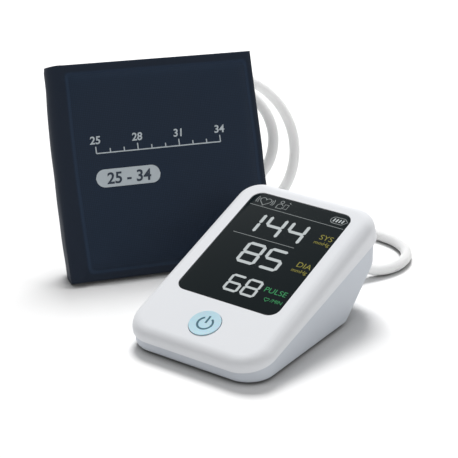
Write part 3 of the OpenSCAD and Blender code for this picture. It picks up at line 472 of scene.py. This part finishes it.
on_window = to_slope @ Matrix.Translation((0, 0, MARKS_N + 0.02))
segment_light = lit("lit segments, neutral", "#BCC2C3")
rule_light = lit("lit rules, dim", "#8C9191")
olive_light = lit("lit captions, olive film", "#918A38")
green_light = lit("lit captions, green film", "#39955A")
display = [
    (number("figures_sys_first", "1", -16.9, 104.4, 19.3, 14.7, 16.5, 2.3, 0.0), segment_light),
    (number("figures_sys", "44", 16.0, 104.3, 19.4, 13.4, 16.5, 2.3, 0.0), segment_light),
    (number("figures_dia", "85", 16.3, 77.7, 19.2, 14.1, 16.6, 2.3, 0.01), segment_light),
    (number("figures_pulse", "68", 15.5, 52.6, 15.0, 11.0, 12.5, 1.8, 0.0), segment_light),
    (caption("caption_sys", "SYS", 35.5, 114.5, 4.6), olive_light),
    (caption("caption_sys_unit", "mmHg", 35.8, 110.0, 3.0), olive_light),
    (caption("caption_dia", "DIA", 35.9, 87.2, 4.6), olive_light),
    (caption("caption_dia_unit", "mmHg", 35.7, 82.7, 3.0), olive_light),
    (caption("caption_pulse", "PULSE", 34.4, 60.6, 4.4), green_light),
    (caption("caption_pulse_unit", "/MIN", 35.4, 53.9, 2.9), green_light),
    (drawn("display_rules", [[(-34.8, 128.6), (36.4, 127.9)], [(-30.4, 101.2), (15.7, 101.3)]],
           0.4, on_window), rule_light),
]


def heart(x, y, size):
    """Outline of a heart, a closed line."""
    points = []
    for k in range(37):
        t = 2 * math.pi * k / 36
        points.append((x + size * 16 * math.sin(t) ** 3 / 34,
                       y + size * (13 * math.cos(t) - 5 * math.cos(2 * t)
                                   - 2 * math.cos(3 * t) - math.cos(4 * t)) / 34))
    points[-1] = points[0]
    return points


beat_x, beat_y = -26.2, 133.9
beat = [heart(beat_x, beat_y, 8.6)] + [
    arc(beat_x, beat_y, radius, first, first + 50, 8)
    for radius, first in ((5.3, 155), (6.6, 150), (5.3, -25), (6.6, -20))]
display.append((drawn("sign_heartbeat", beat, 0.5, on_window), rule_light))
display.append((drawn("sign_cuff", [
    arc(-14.6, 137.0, 1.2, 0, 360, 12),
    [(-16.6, 130.8), (-16.6, 133.6), (-15.6, 135.0), (-13.5, 135.0), (-12.7, 133.8)],
    [(-16.6, 130.8), (-12.4, 130.8), (-12.4, 132.4)],
    [(-11.6, 131.4), (-8.8, 131.4), (-8.8, 135.6), (-11.6, 135.6), (-11.6, 131.4)],
    arc(-10.2, 135.6, 2.4, 35, 75, 5)], 0.5, on_window), rule_light))
cell = arc(26.9, 133.9, 2.9, 90, 270, 10) + [(33.0, 131.0), (35.9, 134.4), (33.0, 136.8)]
display.append((drawn("sign_battery", [cell + [cell[0]]], 0.5, on_window), rule_light))
display.append((drawn("sign_battery_bars", [[(x - 0.3, 132.4), (x + 0.3, 135.4)]
                                            for x in (26.4, 28.5, 30.6, 32.7)],
                      1.0, on_window), segment_light))
display.append((drawn("sign_pulse", [heart(24.2, 55.0, 3.6)], 0.35, on_window), green_light))
for piece, material in display:
    paint(piece, material)
    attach(piece, "monitor")


# ---------------------------------------------------------------- Button
# A dished cap of pale blue polycarbonate, moulded satin, with its sign pad-printed
# in dark teal. The print follows the dish.
paint("power_button", surface("pale blue polycarbonate, satin", "#B3D3E0", "#BBD9E4", 0.0005,
                              roughness=(0.3, 0.38), bump=0.03, cloud=0.02, IOR=1.58,
                              Subsurface_Weight=0.15, Subsurface_Scale=0.002))
BUTTON_S, DISH_R, SIGN_LIFT = 22.9, 90.0, 0.065
sign = drawn("power_sign", [arc(0, 0, 4.9, 122, 418, 40), [(0, 0.3), (0, 3.2), (0, 6.3)]],
             1.35, Matrix.Identity(4))
for vertex in sign.data.vertices:
    out = vertex.co.x ** 2 + vertex.co.y ** 2
    vertex.co.z = max(vertex.co.z, -0.01) + SIGN_LIFT + out / (2 * DISH_R)
sign.data.transform(to_slope @ Matrix.Translation((0, BUTTON_S, 0)))
paint(sign, surface("pad-printed ink, dark teal", "#3F6574", "#486D7B", 0.0004,
                    roughness=(0.35, 0.45), bump=0.02, cloud=0.004))
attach(sign, "power_button")

# ---------------------------------------------------------------- Inside the case
# The board, display module, pump, valve and air line, which show only when the case
# is opened. Each CAD solid stays and takes the finish of the real part.
paint("lcd_glass", surface("display glass with a polariser film", "#20262A", "#262C30", 0.003,
                           roughness=(0.1, 0.16), bump=0.0, IOR=1.5))
ivory = surface("ivory POM, moulded", "#DEDACB", "#E6E2D4", 0.0007, roughness=(0.4, 0.5),
                bump=0.06, IOR=1.48)
black_plastic = surface("black PA66, glass-filled", "#1D1E20", "#26282A", 0.0007,
                        roughness=(0.5, 0.65), bump=0.15)
for name, material in (
        ("lcd_frame", surface("white polycarbonate light guide", "#E8E9E6", "#F0F0EC", 0.0008,
                              roughness=(0.2, 0.3), bump=0.02, IOR=1.58)),
        ("lcd_ribbon", surface("polyimide flat cable", "#B3761F", "#C28630", 0.0005,
                               roughness=(0.25, 0.35), bump=0.03)),
        ("board_chips", surface("moulded epoxy chip housings", "#191A1B", "#232425", 0.0004,
                                roughness=(0.55, 0.7), bump=0.2)),
        ("buzzer", black_plastic), ("tact_switch", black_plastic),
        ("tact_plunger", ivory), ("air_tee", ivory), ("pump_head", ivory),
        ("power_jack", black_plastic),
        ("battery_springs", screw_steel), ("valve_spring", screw_steel),
        ("battery_plates", surface("nickel-plated spring steel", "#B9BBB6", "#C9CBC6", 0.0005,
                                   roughness=(0.2, 0.32), bump=0.05, metallic=1.0)),
        ("pump_motor", surface("drawn steel motor can, zinc-plated", "#A4A8AB", "#B5B9BB", 0.0008,
                               roughness=(0.28, 0.42), bump=0.06, metallic=1.0)),
        ("pump_rotor", surface("enamelled copper and steel armature", "#8E5A35", "#A66E44", 0.0006,
                               roughness=(0.3, 0.5), bump=0.3, metallic=1.0)),
        ("pump_cushions", surface("foam rubber, closed cells", "#2B2C2F", "#383A3D", 0.0008,
                                  roughness=(0.85, 0.95), bump=0.6)),
        ("valve_body", surface("PBT valve housing, grey", "#AEB3B8", "#BBC0C4", 0.0007,
                               roughness=(0.42, 0.52), bump=0.08)),
        ("valve_plunger", surface("turned steel plunger", "#7D8184", "#94989A", 0.0003,
                                  roughness=(0.25, 0.35), bump=0.05, metallic=1.0)),
        ("pressure_sensor", surface("epoxy sensor housing, cream", "#CFCBBB", "#DAD6C7", 0.0005,
                                    roughness=(0.5, 0.6), bump=0.1)),
        ("air_socket", surface("grey ABS socket, moulded", "#B9BDC2", "#C4C8CC", 0.0006,
                               roughness=(0.35, 0.45), bump=0.04)),
        ("plug_seal", surface("nitrile rubber ring", "#141414", "#1E1E1F", 0.0004,
                              roughness=(0.6, 0.75), bump=0.1))):
    paint(name, material)

# The board: green solder mask over etched copper tracks, which show as paler lines.
board = bare(bpy.data.materials.new("glass-epoxy board with solder mask"))
place = add_node(board, "ShaderNodeTexCoord").outputs["Object"]
tracks = add_node(board, "ShaderNodeTexBrick", [(place, "Vector")], offset=0.35, squash=0.6,
                  squash_frequency=3, Color1=tint("#1E5A3A"), Color2=tint("#1A5034"),
                  Mortar=tint("#3F8A5B"), Scale=120.0, Mortar_Size=0.025, Brick_Width=0.9,
                  Row_Height=0.24)
ridge = add_node(board, "ShaderNodeBump", [(tracks.outputs["Fac"], "Height")], Strength=0.3,
                 Distance=0.0001)
body = add_node(board, "ShaderNodeBsdfPrincipled", [(tracks.outputs["Color"], "Base Color"),
                                                    (ridge.outputs[0], "Normal")],
                Roughness=0.28, IOR=1.5)
add_node(board, "ShaderNodeOutputMaterial", [(body.outputs[0], "Surface")])
paint("circuit_board", board)

# The cells: a printed steel jacket, plain grey with a silver band at each end.
jacket = bare(bpy.data.materials.new("printed battery jacket"))
place = add_node(jacket, "ShaderNodeTexCoord").outputs["Object"]
along = add_node(jacket, "ShaderNodeSeparateXYZ", [(place, 0)])
centred = add_node(jacket, "ShaderNodeMath", [(along.outputs["Y"], 0)], operation="ADD")
centred.inputs[1].default_value = 0.0005
reach = add_node(jacket, "ShaderNodeMath", [(centred.outputs[0], 0)], operation="ABSOLUTE")
band = add_node(jacket, "ShaderNodeMath", [(reach.outputs[0], 0)], operation="GREATER_THAN")
band.inputs[1].default_value = 0.0195
scuffs = add_node(jacket, "ShaderNodeTexNoise", [(place, "Vector")], Scale=900.0, Detail=3.0)
shade = add_node(jacket, "ShaderNodeMix", [(band.outputs[0], 0)], data_type="RGBA")
shade.inputs[6].default_value = tint("#43474D")
shade.inputs[7].default_value = tint("#B7BABC")
dull = add_node(jacket, "ShaderNodeMapRange", [(scuffs.outputs["Fac"], 0)], To_Min=0.22,
                To_Max=0.4)
body = add_node(jacket, "ShaderNodeBsdfPrincipled", [(shade.outputs[2], "Base Color"),
                                                     (band.outputs[0], "Metallic"),
                                                     (dull.outputs[0], "Roughness")])
add_node(jacket, "ShaderNodeOutputMaterial", [(body.outputs[0], "Surface")])
paint("batteries", jacket)


# The air tubes: clear silicone, extruded. The CAD tubes' facets are rounded off.
def rounded_copy(node_name, name, levels):
    """A merged copy of a CAD node, with its facets smoothed."""
    piece = nodes[node_name].copy()
    piece.data = nodes[node_name].data.copy()
    for key in [k for k in piece.keys() if k.startswith("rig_")]:
        del piece[key]
    bpy.context.scene.collection.objects.link(piece)
    piece.parent = None
    piece.matrix_world = Matrix.Identity(4)
    piece.name = name
    pick(piece)
    bpy.ops.object.mode_set(mode="EDIT")
    bpy.ops.mesh.select_all(action="SELECT")
    bpy.ops.mesh.remove_doubles(threshold=1e-6)
    bpy.ops.object.mode_set(mode="OBJECT")
    fine = piece.modifiers.new("round", "SUBSURF")
    fine.levels = fine.render_levels = levels
    bpy.ops.object.modifier_apply(modifier="round")
    bpy.ops.object.shade_smooth()
    return piece


silicone = rounded_copy("air_tubes", "silicone_tubes", 2)
paint(silicone, surface("silicone tube, translucent", "#D6DADB", "#E0E3E4", 0.0008,
                        roughness=(0.3, 0.4), bump=0.02, IOR=1.41, Subsurface_Weight=0.3,
                        Subsurface_Scale=0.002))
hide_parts("air_tubes")
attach(silicone, "monitor")

# ---------------------------------------------------------------- Plug and port
# Light grey PVC mouldings: the right-angled plug in the case, the collar at the
# hose's far end and the welded port with its swivelling elbow.
plug_plastic = surface("light grey PVC moulding", "#D3D6D8", "#DCDEDF", 0.0006,
                       roughness=(0.35, 0.45), bump=0.04)
for name in ("hose_plug", "hose_collar", "cuff_port"):
    paint(name, plug_plastic)


# ---------------------------------------------------------------- Cuff
# A strip of navy nylon, coated inside and welded to a second ply, 534 mm long. It is
# rolled flat: front layer, round the left edge, back layer, round the right edge and
# two inner layers. Its borders are flat and thin, and a weld runs inside the border.
CUFF_H, LAYER = 145.0, 3.6
FREE_U, LEFT_U, RIGHT_U, INNER_U, END_U = 143.6, 8.3, 133.7, 13.3, 126.7
FRONT_D, THIRD_D, END_D, BACK_D = 1.8, 6.6, 10.7, 14.8
LEFT_D = (FRONT_D + BACK_D) / 2
WELD_U, WELD_V, WELD_HALF_U, WELD_HALF_V, WELD_R = 76.5, 72.3, 62.5, 66.3, 5.0


def fold(u, near, far, first, last):
    """Points of one fold between two layers, with the angles in degrees, 0 along +u and 90
    along +d."""
    d, radius = (near + far) / 2, (far - near) / 2
    count = max(8, int(abs(last - first) / 180 * math.pi * radius / 1.3))
    return [(u + radius * math.cos(math.radians(first + (last - first) * k / count)),
             d + radius * math.sin(math.radians(first + (last - first) * k / count)))
            for k in range(count + 1)]


def straight(first, last, d):
    """Points of one layer between its folds, 2.2 mm apart."""
    count = int(abs(last - first) / 2.2)
    return [(first + (last - first) * k / count, d) for k in range(1, count)]


strip = ([(FREE_U, FRONT_D)] + straight(FREE_U, LEFT_U, FRONT_D)
         + fold(LEFT_U, FRONT_D, BACK_D, 270, 90) + straight(LEFT_U, RIGHT_U, BACK_D)
         + fold(RIGHT_U, THIRD_D, BACK_D, 90, -90) + straight(RIGHT_U, INNER_U, THIRD_D)
         + fold(INNER_U, THIRD_D, END_D, 270, 90) + straight(INNER_U, END_U, END_D)
         + [(END_U, END_D)])
run = [0.0]
for (ua, da), (ub, db) in zip(strip, strip[1:]):
    run.append(run[-1] + math.hypot(ub - ua, db - da))
FRONT_END = FREE_U - LEFT_U
# Heights of the points, which lie closer at the borders and the weld
rows = ([0, 0.5, 1.4, 2.8, 4.2, 5.2, 6.0, 6.8, 8.0, 10] + [12.4 + 2.4 * k for k in range(51)]
        + [134.6, 136.6, 137.8, 138.6, 139.4, 140.6, 142, 143.4, 144.4, 144.8, 145])


def ease(x):
    """From 0 to 1 and level at both ends."""
    x = min(max(x, 0.0), 1.0)
    return x * x * (3 - 2 * x)


def weld_distance(s, v):
    """Distance to the welded line, a round-cornered frame on the front layer."""
    x = abs(FREE_U - s - WELD_U) - (WELD_HALF_U - WELD_R)
    y = abs(v - WELD_V) - (WELD_HALF_V - WELD_R)
    return math.hypot(max(x, 0), max(y, 0)) + min(max(x, y), 0) - WELD_R


def weld_groove(s, v):
    """Depth of the groove that the weld presses in."""
    return 0.75 * math.exp(-(weld_distance(s, v) / 0.9) ** 2)


def half_thickness(s, v):
    """Half the cloth's thickness: thin welded borders, and a full middle."""
    edge = min(v, CUFF_H - v, s, run[-1] - s)
    border = 0.55 + 0.15 * ease(edge / 1.2)
    full = (LAYER / 2 - 0.1 - border) * ease((edge - 5.4) / 5.5)
    return max(0.12, (border + full) * ease(edge / 0.9 + 0.25))


def wrinkle(s, v):
    """Soft waves in the cloth, strongest away from the borders, in millimetres."""
    inside = ease((min(v, CUFF_H - v, s + 4, run[-1] - s) - 3) / 22)
    outer = 1.0 if s < FRONT_END + 150 else 0.25
    wide = math.sin(0.052 * s + 0.031 * v + 0.8) * math.sin(0.047 * v - 0.023 * s + 2.1)
    small = math.sin(0.13 * s - 0.09 * v + 1.1) * math.sin(0.11 * v + 0.06 * s)
    return outer * inside * (0.42 * wide + 0.16 * small)


def crown(s, v):
    """How far the front layer stands out from flat."""
    if s > FRONT_END:
        return 0.0
    inside = min(max(-weld_distance(s, v), 0) / 45, 1)
    return 2.2 * (1 - (1 - inside) ** 3) + 0.5 * (1 - ease(s / 30)) * ease(v / 60)


def settle_cloth(u, d, v):
    """The roll's own weight: its foot splays forward, its left fold bellies out and is
    creased sharp at the foot, and its left side stands a little taller."""
    foot = (1 - min(max(v / CUFF_H, 0), 1)) ** 1.4
    crease = 0.85 * (1 - ease(v / 75))
    if u < LEFT_U and d < LEFT_D and crease > 0:
        reach = math.hypot(u - LEFT_U, d - LEFT_D)
        corner = max(abs(u - LEFT_U), abs(d - LEFT_D)) or 1.0
        grow = 1 + crease * (reach / corner - 1)
        u, d = LEFT_U + (u - LEFT_U) * grow, LEFT_D + (d - LEFT_D) * grow
    d -= 7.8 * foot * (1 - ease((d - 3.0) / 10.5))
    left, right = 1 - ease((u - 1.5) / 30), ease((u - 100) / 40)
    belly = math.sin(math.pi * min(max(v, 0) / 128, 1)) ** 1.3
    u += left * (0.8 * ease((v - 98) / 40) - 1.2 * belly) + 0.7 * right * ease((v - 58) / 25)
    v += ease(v / CUFF_H) * (1.7 - 2.0 * u / FREE_U - 0.9 * (1 - ease((u + 3) / 14)))
    return on_cuff(u, d, v)


def cloth(i, v, side):
    """A point of the cuff's surface at one place along the strip, in millimetres. side is
    1 for the outer face of the roll and -1 for the inner one."""
    a, b = strip[max(i - 1, 0)], strip[min(i + 1, len(strip) - 1)]
    long = math.hypot(b[0] - a[0], b[1] - a[1])
    normal = ((b[1] - a[1]) / long, -(b[0] - a[0]) / long)
    s = run[i]
    away = side * half_thickness(s, v)
    round_left = FRONT_END - 3 < s < FRONT_END + 23
    if side > 0 and round_left:
        away = LAYER / 2 - 0.1 - 0.5 * (1 - ease(min(v, CUFF_H - v) / 4))
    if side > 0 and s < FRONT_END + 12:
        pucker = math.exp(-((weld_distance(s, v) + 3.2) / 2.4) ** 2)
        away += 0.12 * pucker * math.sin(0.9 * s + 0.8 * v) - weld_groove(s, v)
    away += wrinkle(s, v)
    return (strip[i][0] - normal[0] * away, strip[i][1] - normal[1] * away - crown(s, v))


def closed_cloth(name, along, heights, surface_point):
    """A closed piece of cloth: surface_point(i, v, side) gives (u, d) of either face. Its
    chart has the place along the cloth and the height, in metres."""
    points, faces, laid = [], [], []
    ring = [(v, 1) for v in heights] + [(v, -1) for v in reversed(heights)]
    for i, s in enumerate(along):
        for v, side in ring:
            u, d = surface_point(i, v, side)
            spot = settle_cloth(u, d, v)
            spot.z = max(spot.z, 0.00015)
            points.append(spot)
            laid.append((s / 1000, v / 1000))
    n, h, last = len(ring), len(heights), len(along) - 1
    for i in range(last):
        for k in range(n):
            m = (k + 1) % n
            faces.append((i * n + k, i * n + m, (i + 1) * n + m, (i + 1) * n + k))
    for i, turned in ((0, False), (last, True)):
        for k in range(h - 1):
            quad = (i * n + k, i * n + n - 1 - k, i * n + n - 2 - k, i * n + k + 1)
            faces.append(quad[::-1] if turned else quad)
    mesh = bpy.data.meshes.new(name)
    mesh.from_pydata(points, [], faces)
    mesh.validate()
    piece = bpy.data.objects.new(name, mesh)
    bpy.context.scene.collection.objects.link(piece)
    pick(piece)
    bpy.ops.object.mode_set(mode="EDIT")
    face_outward()
    chart = mesh.uv_layers.new(name="cloth")
    for loop in mesh.loops:
        chart.data[loop.index].uv = laid[loop.vertex_index]
    for face in mesh.polygons:
        face.use_smooth = True
    return piece


cuff = closed_cloth("cuff_cloth", run, rows, cloth)
nylon = bare(bpy.data.materials.new("navy nylon, plain weave, coated"))
on_cloth = add_node(nylon, "ShaderNodeUVMap", uv_map="cloth").outputs[0]
place = add_node(nylon, "ShaderNodeTexCoord").outputs["Object"]
# Threads lie 0.25 mm apart on the real cloth and are drawn at 0.6 mm, so that they show.
warp = add_node(nylon, "ShaderNodeTexWave", [(on_cloth, "Vector")], bands_direction="X",
                Scale=260.0, Distortion=0.4, Detail=1.0, Detail_Scale=2.0)
weft = add_node(nylon, "ShaderNodeTexWave", [(on_cloth, "Vector")], bands_direction="Y",
                Scale=260.0, Distortion=0.4, Detail=1.0, Detail_Scale=2.0)
weave = add_node(nylon, "ShaderNodeMath", [(warp.outputs["Fac"], 0), (weft.outputs["Fac"], 1)],
                 operation="MULTIPLY")
patches = add_node(nylon, "ShaderNodeTexNoise", [(place, "Vector")], Scale=22.0, Detail=4.0)
dyed = add_node(nylon, "ShaderNodeMix", [(patches.outputs["Fac"], 0)], data_type="RGBA")
dyed.inputs[6].default_value = tint("#0C1929")
dyed.inputs[7].default_value = tint("#112031")
thread = add_node(nylon, "ShaderNodeMix", [(weave.outputs[0], 0), (dyed.outputs[2], 6)],
                  data_type="RGBA")
thread.inputs[7].default_value = tint("#16273A")
# On the front layer the border outside the weld is painted darker, a painted shade, and
# the weld line is painted paler, a painted highlight.
sides = add_node(nylon, "ShaderNodeSeparateXYZ", [(on_cloth, 0)])
past = []
for axis, middle, half in (("X", FREE_U - WELD_U, WELD_HALF_U), ("Y", WELD_V, WELD_HALF_V)):
    off = add_node(nylon, "ShaderNodeMath", [(sides.outputs[axis], 0)], operation="SUBTRACT")
    off.inputs[1].default_value = middle / 1000
    size = add_node(nylon, "ShaderNodeMath", [(off.outputs[0], 0)], operation="ABSOLUTE")
    out = add_node(nylon, "ShaderNodeMath", [(size.outputs[0], 0)], operation="SUBTRACT")
    out.inputs[1].default_value = half / 1000
    past.append(out)
edge = add_node(nylon, "ShaderNodeMath", [(past[0].outputs[0], 0), (past[1].outputs[0], 1)],
                operation="SMOOTH_MAX")
edge.inputs[2].default_value = 0.006
# Mask of the painted shade on the border outside the weld.
border = add_node(nylon, "ShaderNodeMapRange", [(edge.outputs[0], 0)], From_Min=0.0006,
                  From_Max=0.0022)
# Mask of the painted highlight along the weld line.
from_weld_line = add_node(nylon, "ShaderNodeMath", [(edge.outputs[0], 0)], operation="ABSOLUTE")
painted_weld_highlight = add_node(nylon, "ShaderNodeMapRange", [(from_weld_line.outputs[0], 0)], From_Min=0.0004,
                From_Max=0.0014, To_Min=0.4, To_Max=0.0)
# Paints the shade on the border outside the weld: the cloth's colour goes to #0C1827.
flat = add_node(nylon, "ShaderNodeMix", [(border.outputs[0], 0), (thread.outputs[2], 6)],
                data_type="RGBA")
flat.inputs[7].default_value = tint("#0C1827")
# Paints the highlight along the weld line in #2A3A50.
cloth_tone = add_node(nylon, "ShaderNodeMix", [(painted_weld_highlight.outputs[0], 0), (flat.outputs[2], 6)],
                      data_type="RGBA")
cloth_tone.inputs[7].default_value = tint("#2A3A50")
relief = add_node(nylon, "ShaderNodeBump", [(weave.outputs[0], "Height")], Strength=0.35,
                  Distance=0.00012)
soft = add_node(nylon, "ShaderNodeBump", [(patches.outputs["Fac"], "Height"),
                                          (relief.outputs[0], "Normal")],
                Strength=0.4, Distance=0.001)
gloss = add_node(nylon, "ShaderNodeMapRange", [(patches.outputs["Fac"], 0)], To_Min=0.52,
                 To_Max=0.66)
body = add_node(nylon, "ShaderNodeBsdfPrincipled",
                [(cloth_tone.outputs[2], "Base Color"), (gloss.outputs[0], "Roughness"),
                 (soft.outputs[0], "Normal")], Sheen_Weight=0.05, Sheen_Roughness=0.5,
                Sheen_Tint=tint("#8FA2BA"), IOR=1.5, Specular_IOR_Level=0.25)
add_node(nylon, "ShaderNodeOutputMaterial", [(body.outputs[0], "Surface")])
paint(cuff, nylon)
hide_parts("cuff_sleeve")
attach(cuff, "monitor")


# The print: light grey transfer ink on the front layer, with the arm's range in
# centimetres as plain numbers, and a bar that marks the range.
def on_front(piece, lift):
    """Lays a flat piece, drawn in millimetres across and up the cuff, on the front layer."""
    for vertex in piece.data.vertices:
        u, v = vertex.co.x, vertex.co.y
        s = FREE_U - u
        out = half_thickness(s, v) - weld_groove(s, v) + wrinkle(s, v) + crown(s, v)
        d = FRONT_D - out - lift - max(vertex.co.z, -0.02)
        vertex.co = settle_cloth(u, d, v)
    piece.data.update()


# A grid drawn in to half circles at its two ends
PILL_U, PILL_V, PILL_W, PILL_H = 47.6, 67.0, 44.0, 12.0
pill = start(bpy.ops.mesh.primitive_grid_add, "print_pill", x_subdivisions=60,
             y_subdivisions=14, size=1)
for vertex in pill.data.vertices:
    x, y = vertex.co.x * PILL_W, vertex.co.y * PILL_H
    past = max(0, abs(x) - (PILL_W - PILL_H) / 2) / (PILL_H / 2)
    y *= math.sqrt(max(0.0, 1 - min(past, 1) ** 2)) if past < 1 else 0.03
    vertex.co = (x + PILL_U, y + PILL_V, 0)
ink_grey = surface("light grey transfer ink", "#BCC6CC", "#C6CFD4", 0.0009,
                   roughness=(0.5, 0.6), bump=0.12, cloud=0.01)
ink_navy = surface("navy ground showing through", "#1C2735", "#212D3D", 0.0009,
                   roughness=(0.55, 0.65), bump=0.12)


def cuff_text(name, words, u, v, high):
    """Plain figures on the cuff, centred at u, standing on v and leaning a little."""
    piece = lettering(name, words, "CENTER", high, 0.04, 0.03)
    piece.data.transform(Matrix.Translation((u, v, 0)) @ slanted(0.12))
    return piece


SCALE_U, SCALE_V, SCALE_L, FIGURES = 28, 84.0, 86, ("25", "28", "31", "34")
ticks = [(SCALE_U + SCALE_L * k / 9, 88.6 if k % 3 == 0 else 86.8) for k in range(10)]
scale_lines = [[(SCALE_U + 2 * k, SCALE_V) for k in range(44)]]
scale_lines += [[(u, SCALE_V), (u, top)] for u, top in ticks]
scale_bar = drawn("print_scale", scale_lines, 0.8, Matrix.Identity(4))
prints = [(pill, ink_grey, 0.05),
          (cuff_text("print_pill_figures", "25 - 34", PILL_U, 63.2, 7.6), ink_navy, 0.11),
          (scale_bar, ink_grey, 0.06)]
for words, (u, top) in zip(FIGURES, ticks[::3]):
    prints.append((cuff_text("print_scale_" + words, words, u, 90.4, 5.2), ink_grey, 0.06))
for piece, material, lift in prints:
    on_front(piece, lift)
    paint(piece, material)
    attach(piece, "monitor")


# ---------------------------------------------------------------- Fastening and bladder
# Hook tape under the free end of the front layer, loop pile on the back, and inside the
# back layer the bladder, a flat bag of welded sheet.
def rulings(low, high, border):
    """Places across a pad: both edges, both borders and steps of about 2.4 mm."""
    count = int((high - low) / 2.4)
    steps = {low + (high - low) * k / count for k in range(1, count)}
    return sorted(steps | {low, low + 0.25, low + border, high - border, high - 0.25, high})


def pad(name, u0, u1, d0, d1, v0, v1, border, ripple):
    """A flat cloth pad between two depths, thinner at its welded border."""
    stations, heights = rulings(u0, u1, border), rulings(v0, v1, border)
    middle, half = (d0 + d1) / 2, (d1 - d0) / 2

    def point(i, v, side):
        u = stations[i]
        edge = min(u - u0, u1 - u, v - v0, v1 - v)
        thick = half * (0.25 + 0.35 * ease(edge / 0.25) + 0.4 * ease((edge - border) / border))
        wave = ripple * ease((edge - border) / 6) * math.sin(0.31 * u) * math.sin(0.27 * v + u)
        return u, middle - side * (thick - abs(wave))

    return closed_cloth(name, stations, heights, point)


def pile(name, dark, light, pitch, depth, roughness):
    """Woven tape with hooks or loops, as cells of one pitch, in metres."""
    material = bare(bpy.data.materials.new(name))
    chart = add_node(material, "ShaderNodeUVMap", uv_map="cloth").outputs[0]
    cells = add_node(material, "ShaderNodeTexVoronoi", [(chart, "Vector")], Scale=1 / pitch,
                     Randomness=0.75)
    # Each cell is painted darker towards its rim, where the pile dips: painted shade between the
    # hooks and between the loops.
    shade = add_node(material, "ShaderNodeMix", [(cells.outputs["Distance"], 0)],
                     data_type="RGBA")
    shade.inputs[6].default_value = tint(light)
    shade.inputs[7].default_value = tint(dark)
    fluff = add_node(material, "ShaderNodeBump", [(cells.outputs["Distance"], "Height")],
                     Strength=0.9, Distance=depth, invert=True)
    fibre = add_node(material, "ShaderNodeBsdfPrincipled",
                     [(shade.outputs[2], "Base Color"), (fluff.outputs[0], "Normal")],
                     Roughness=roughness, Sheen_Weight=0.25, Sheen_Roughness=0.6)
    add_node(material, "ShaderNodeOutputMaterial", [(fibre.outputs[0], "Surface")])
    return material


hooks = pad("hook_tape", 109.6, 139.6, 3.65, 4.55, 12, 133, 1.2, 0.0)
paint(hooks, pile("nylon hook tape, navy", "#151D29", "#2A3648", 0.0015, 0.0006, 0.6))
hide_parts("hook_patch")
loops = pad("loop_pile", 14.3, 76.3, 16.3, 17.4, 16, 133, 2.5, 0.12)
paint(loops, pile("nylon loop pile, navy", "#1B2534", "#33415A", 0.0011, 0.0005, 0.85))
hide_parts("loop_patch")
bag = pad("bladder_bag", 20.2, 123.4, 13.7, 15.9, 20.2, 132.8, 5.0, 0.15)
paint(bag, surface("welded TPU sheet", "#75756B", "#83837A", 0.002, roughness=(0.4, 0.55),
                   bump=0.1, IOR=1.5, Subsurface_Weight=0.1, Subsurface_Scale=0.002))
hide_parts("bladder")
for piece in (hooks, loops, bag):
    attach(piece, "monitor")

bpy.context.view_layer.update()
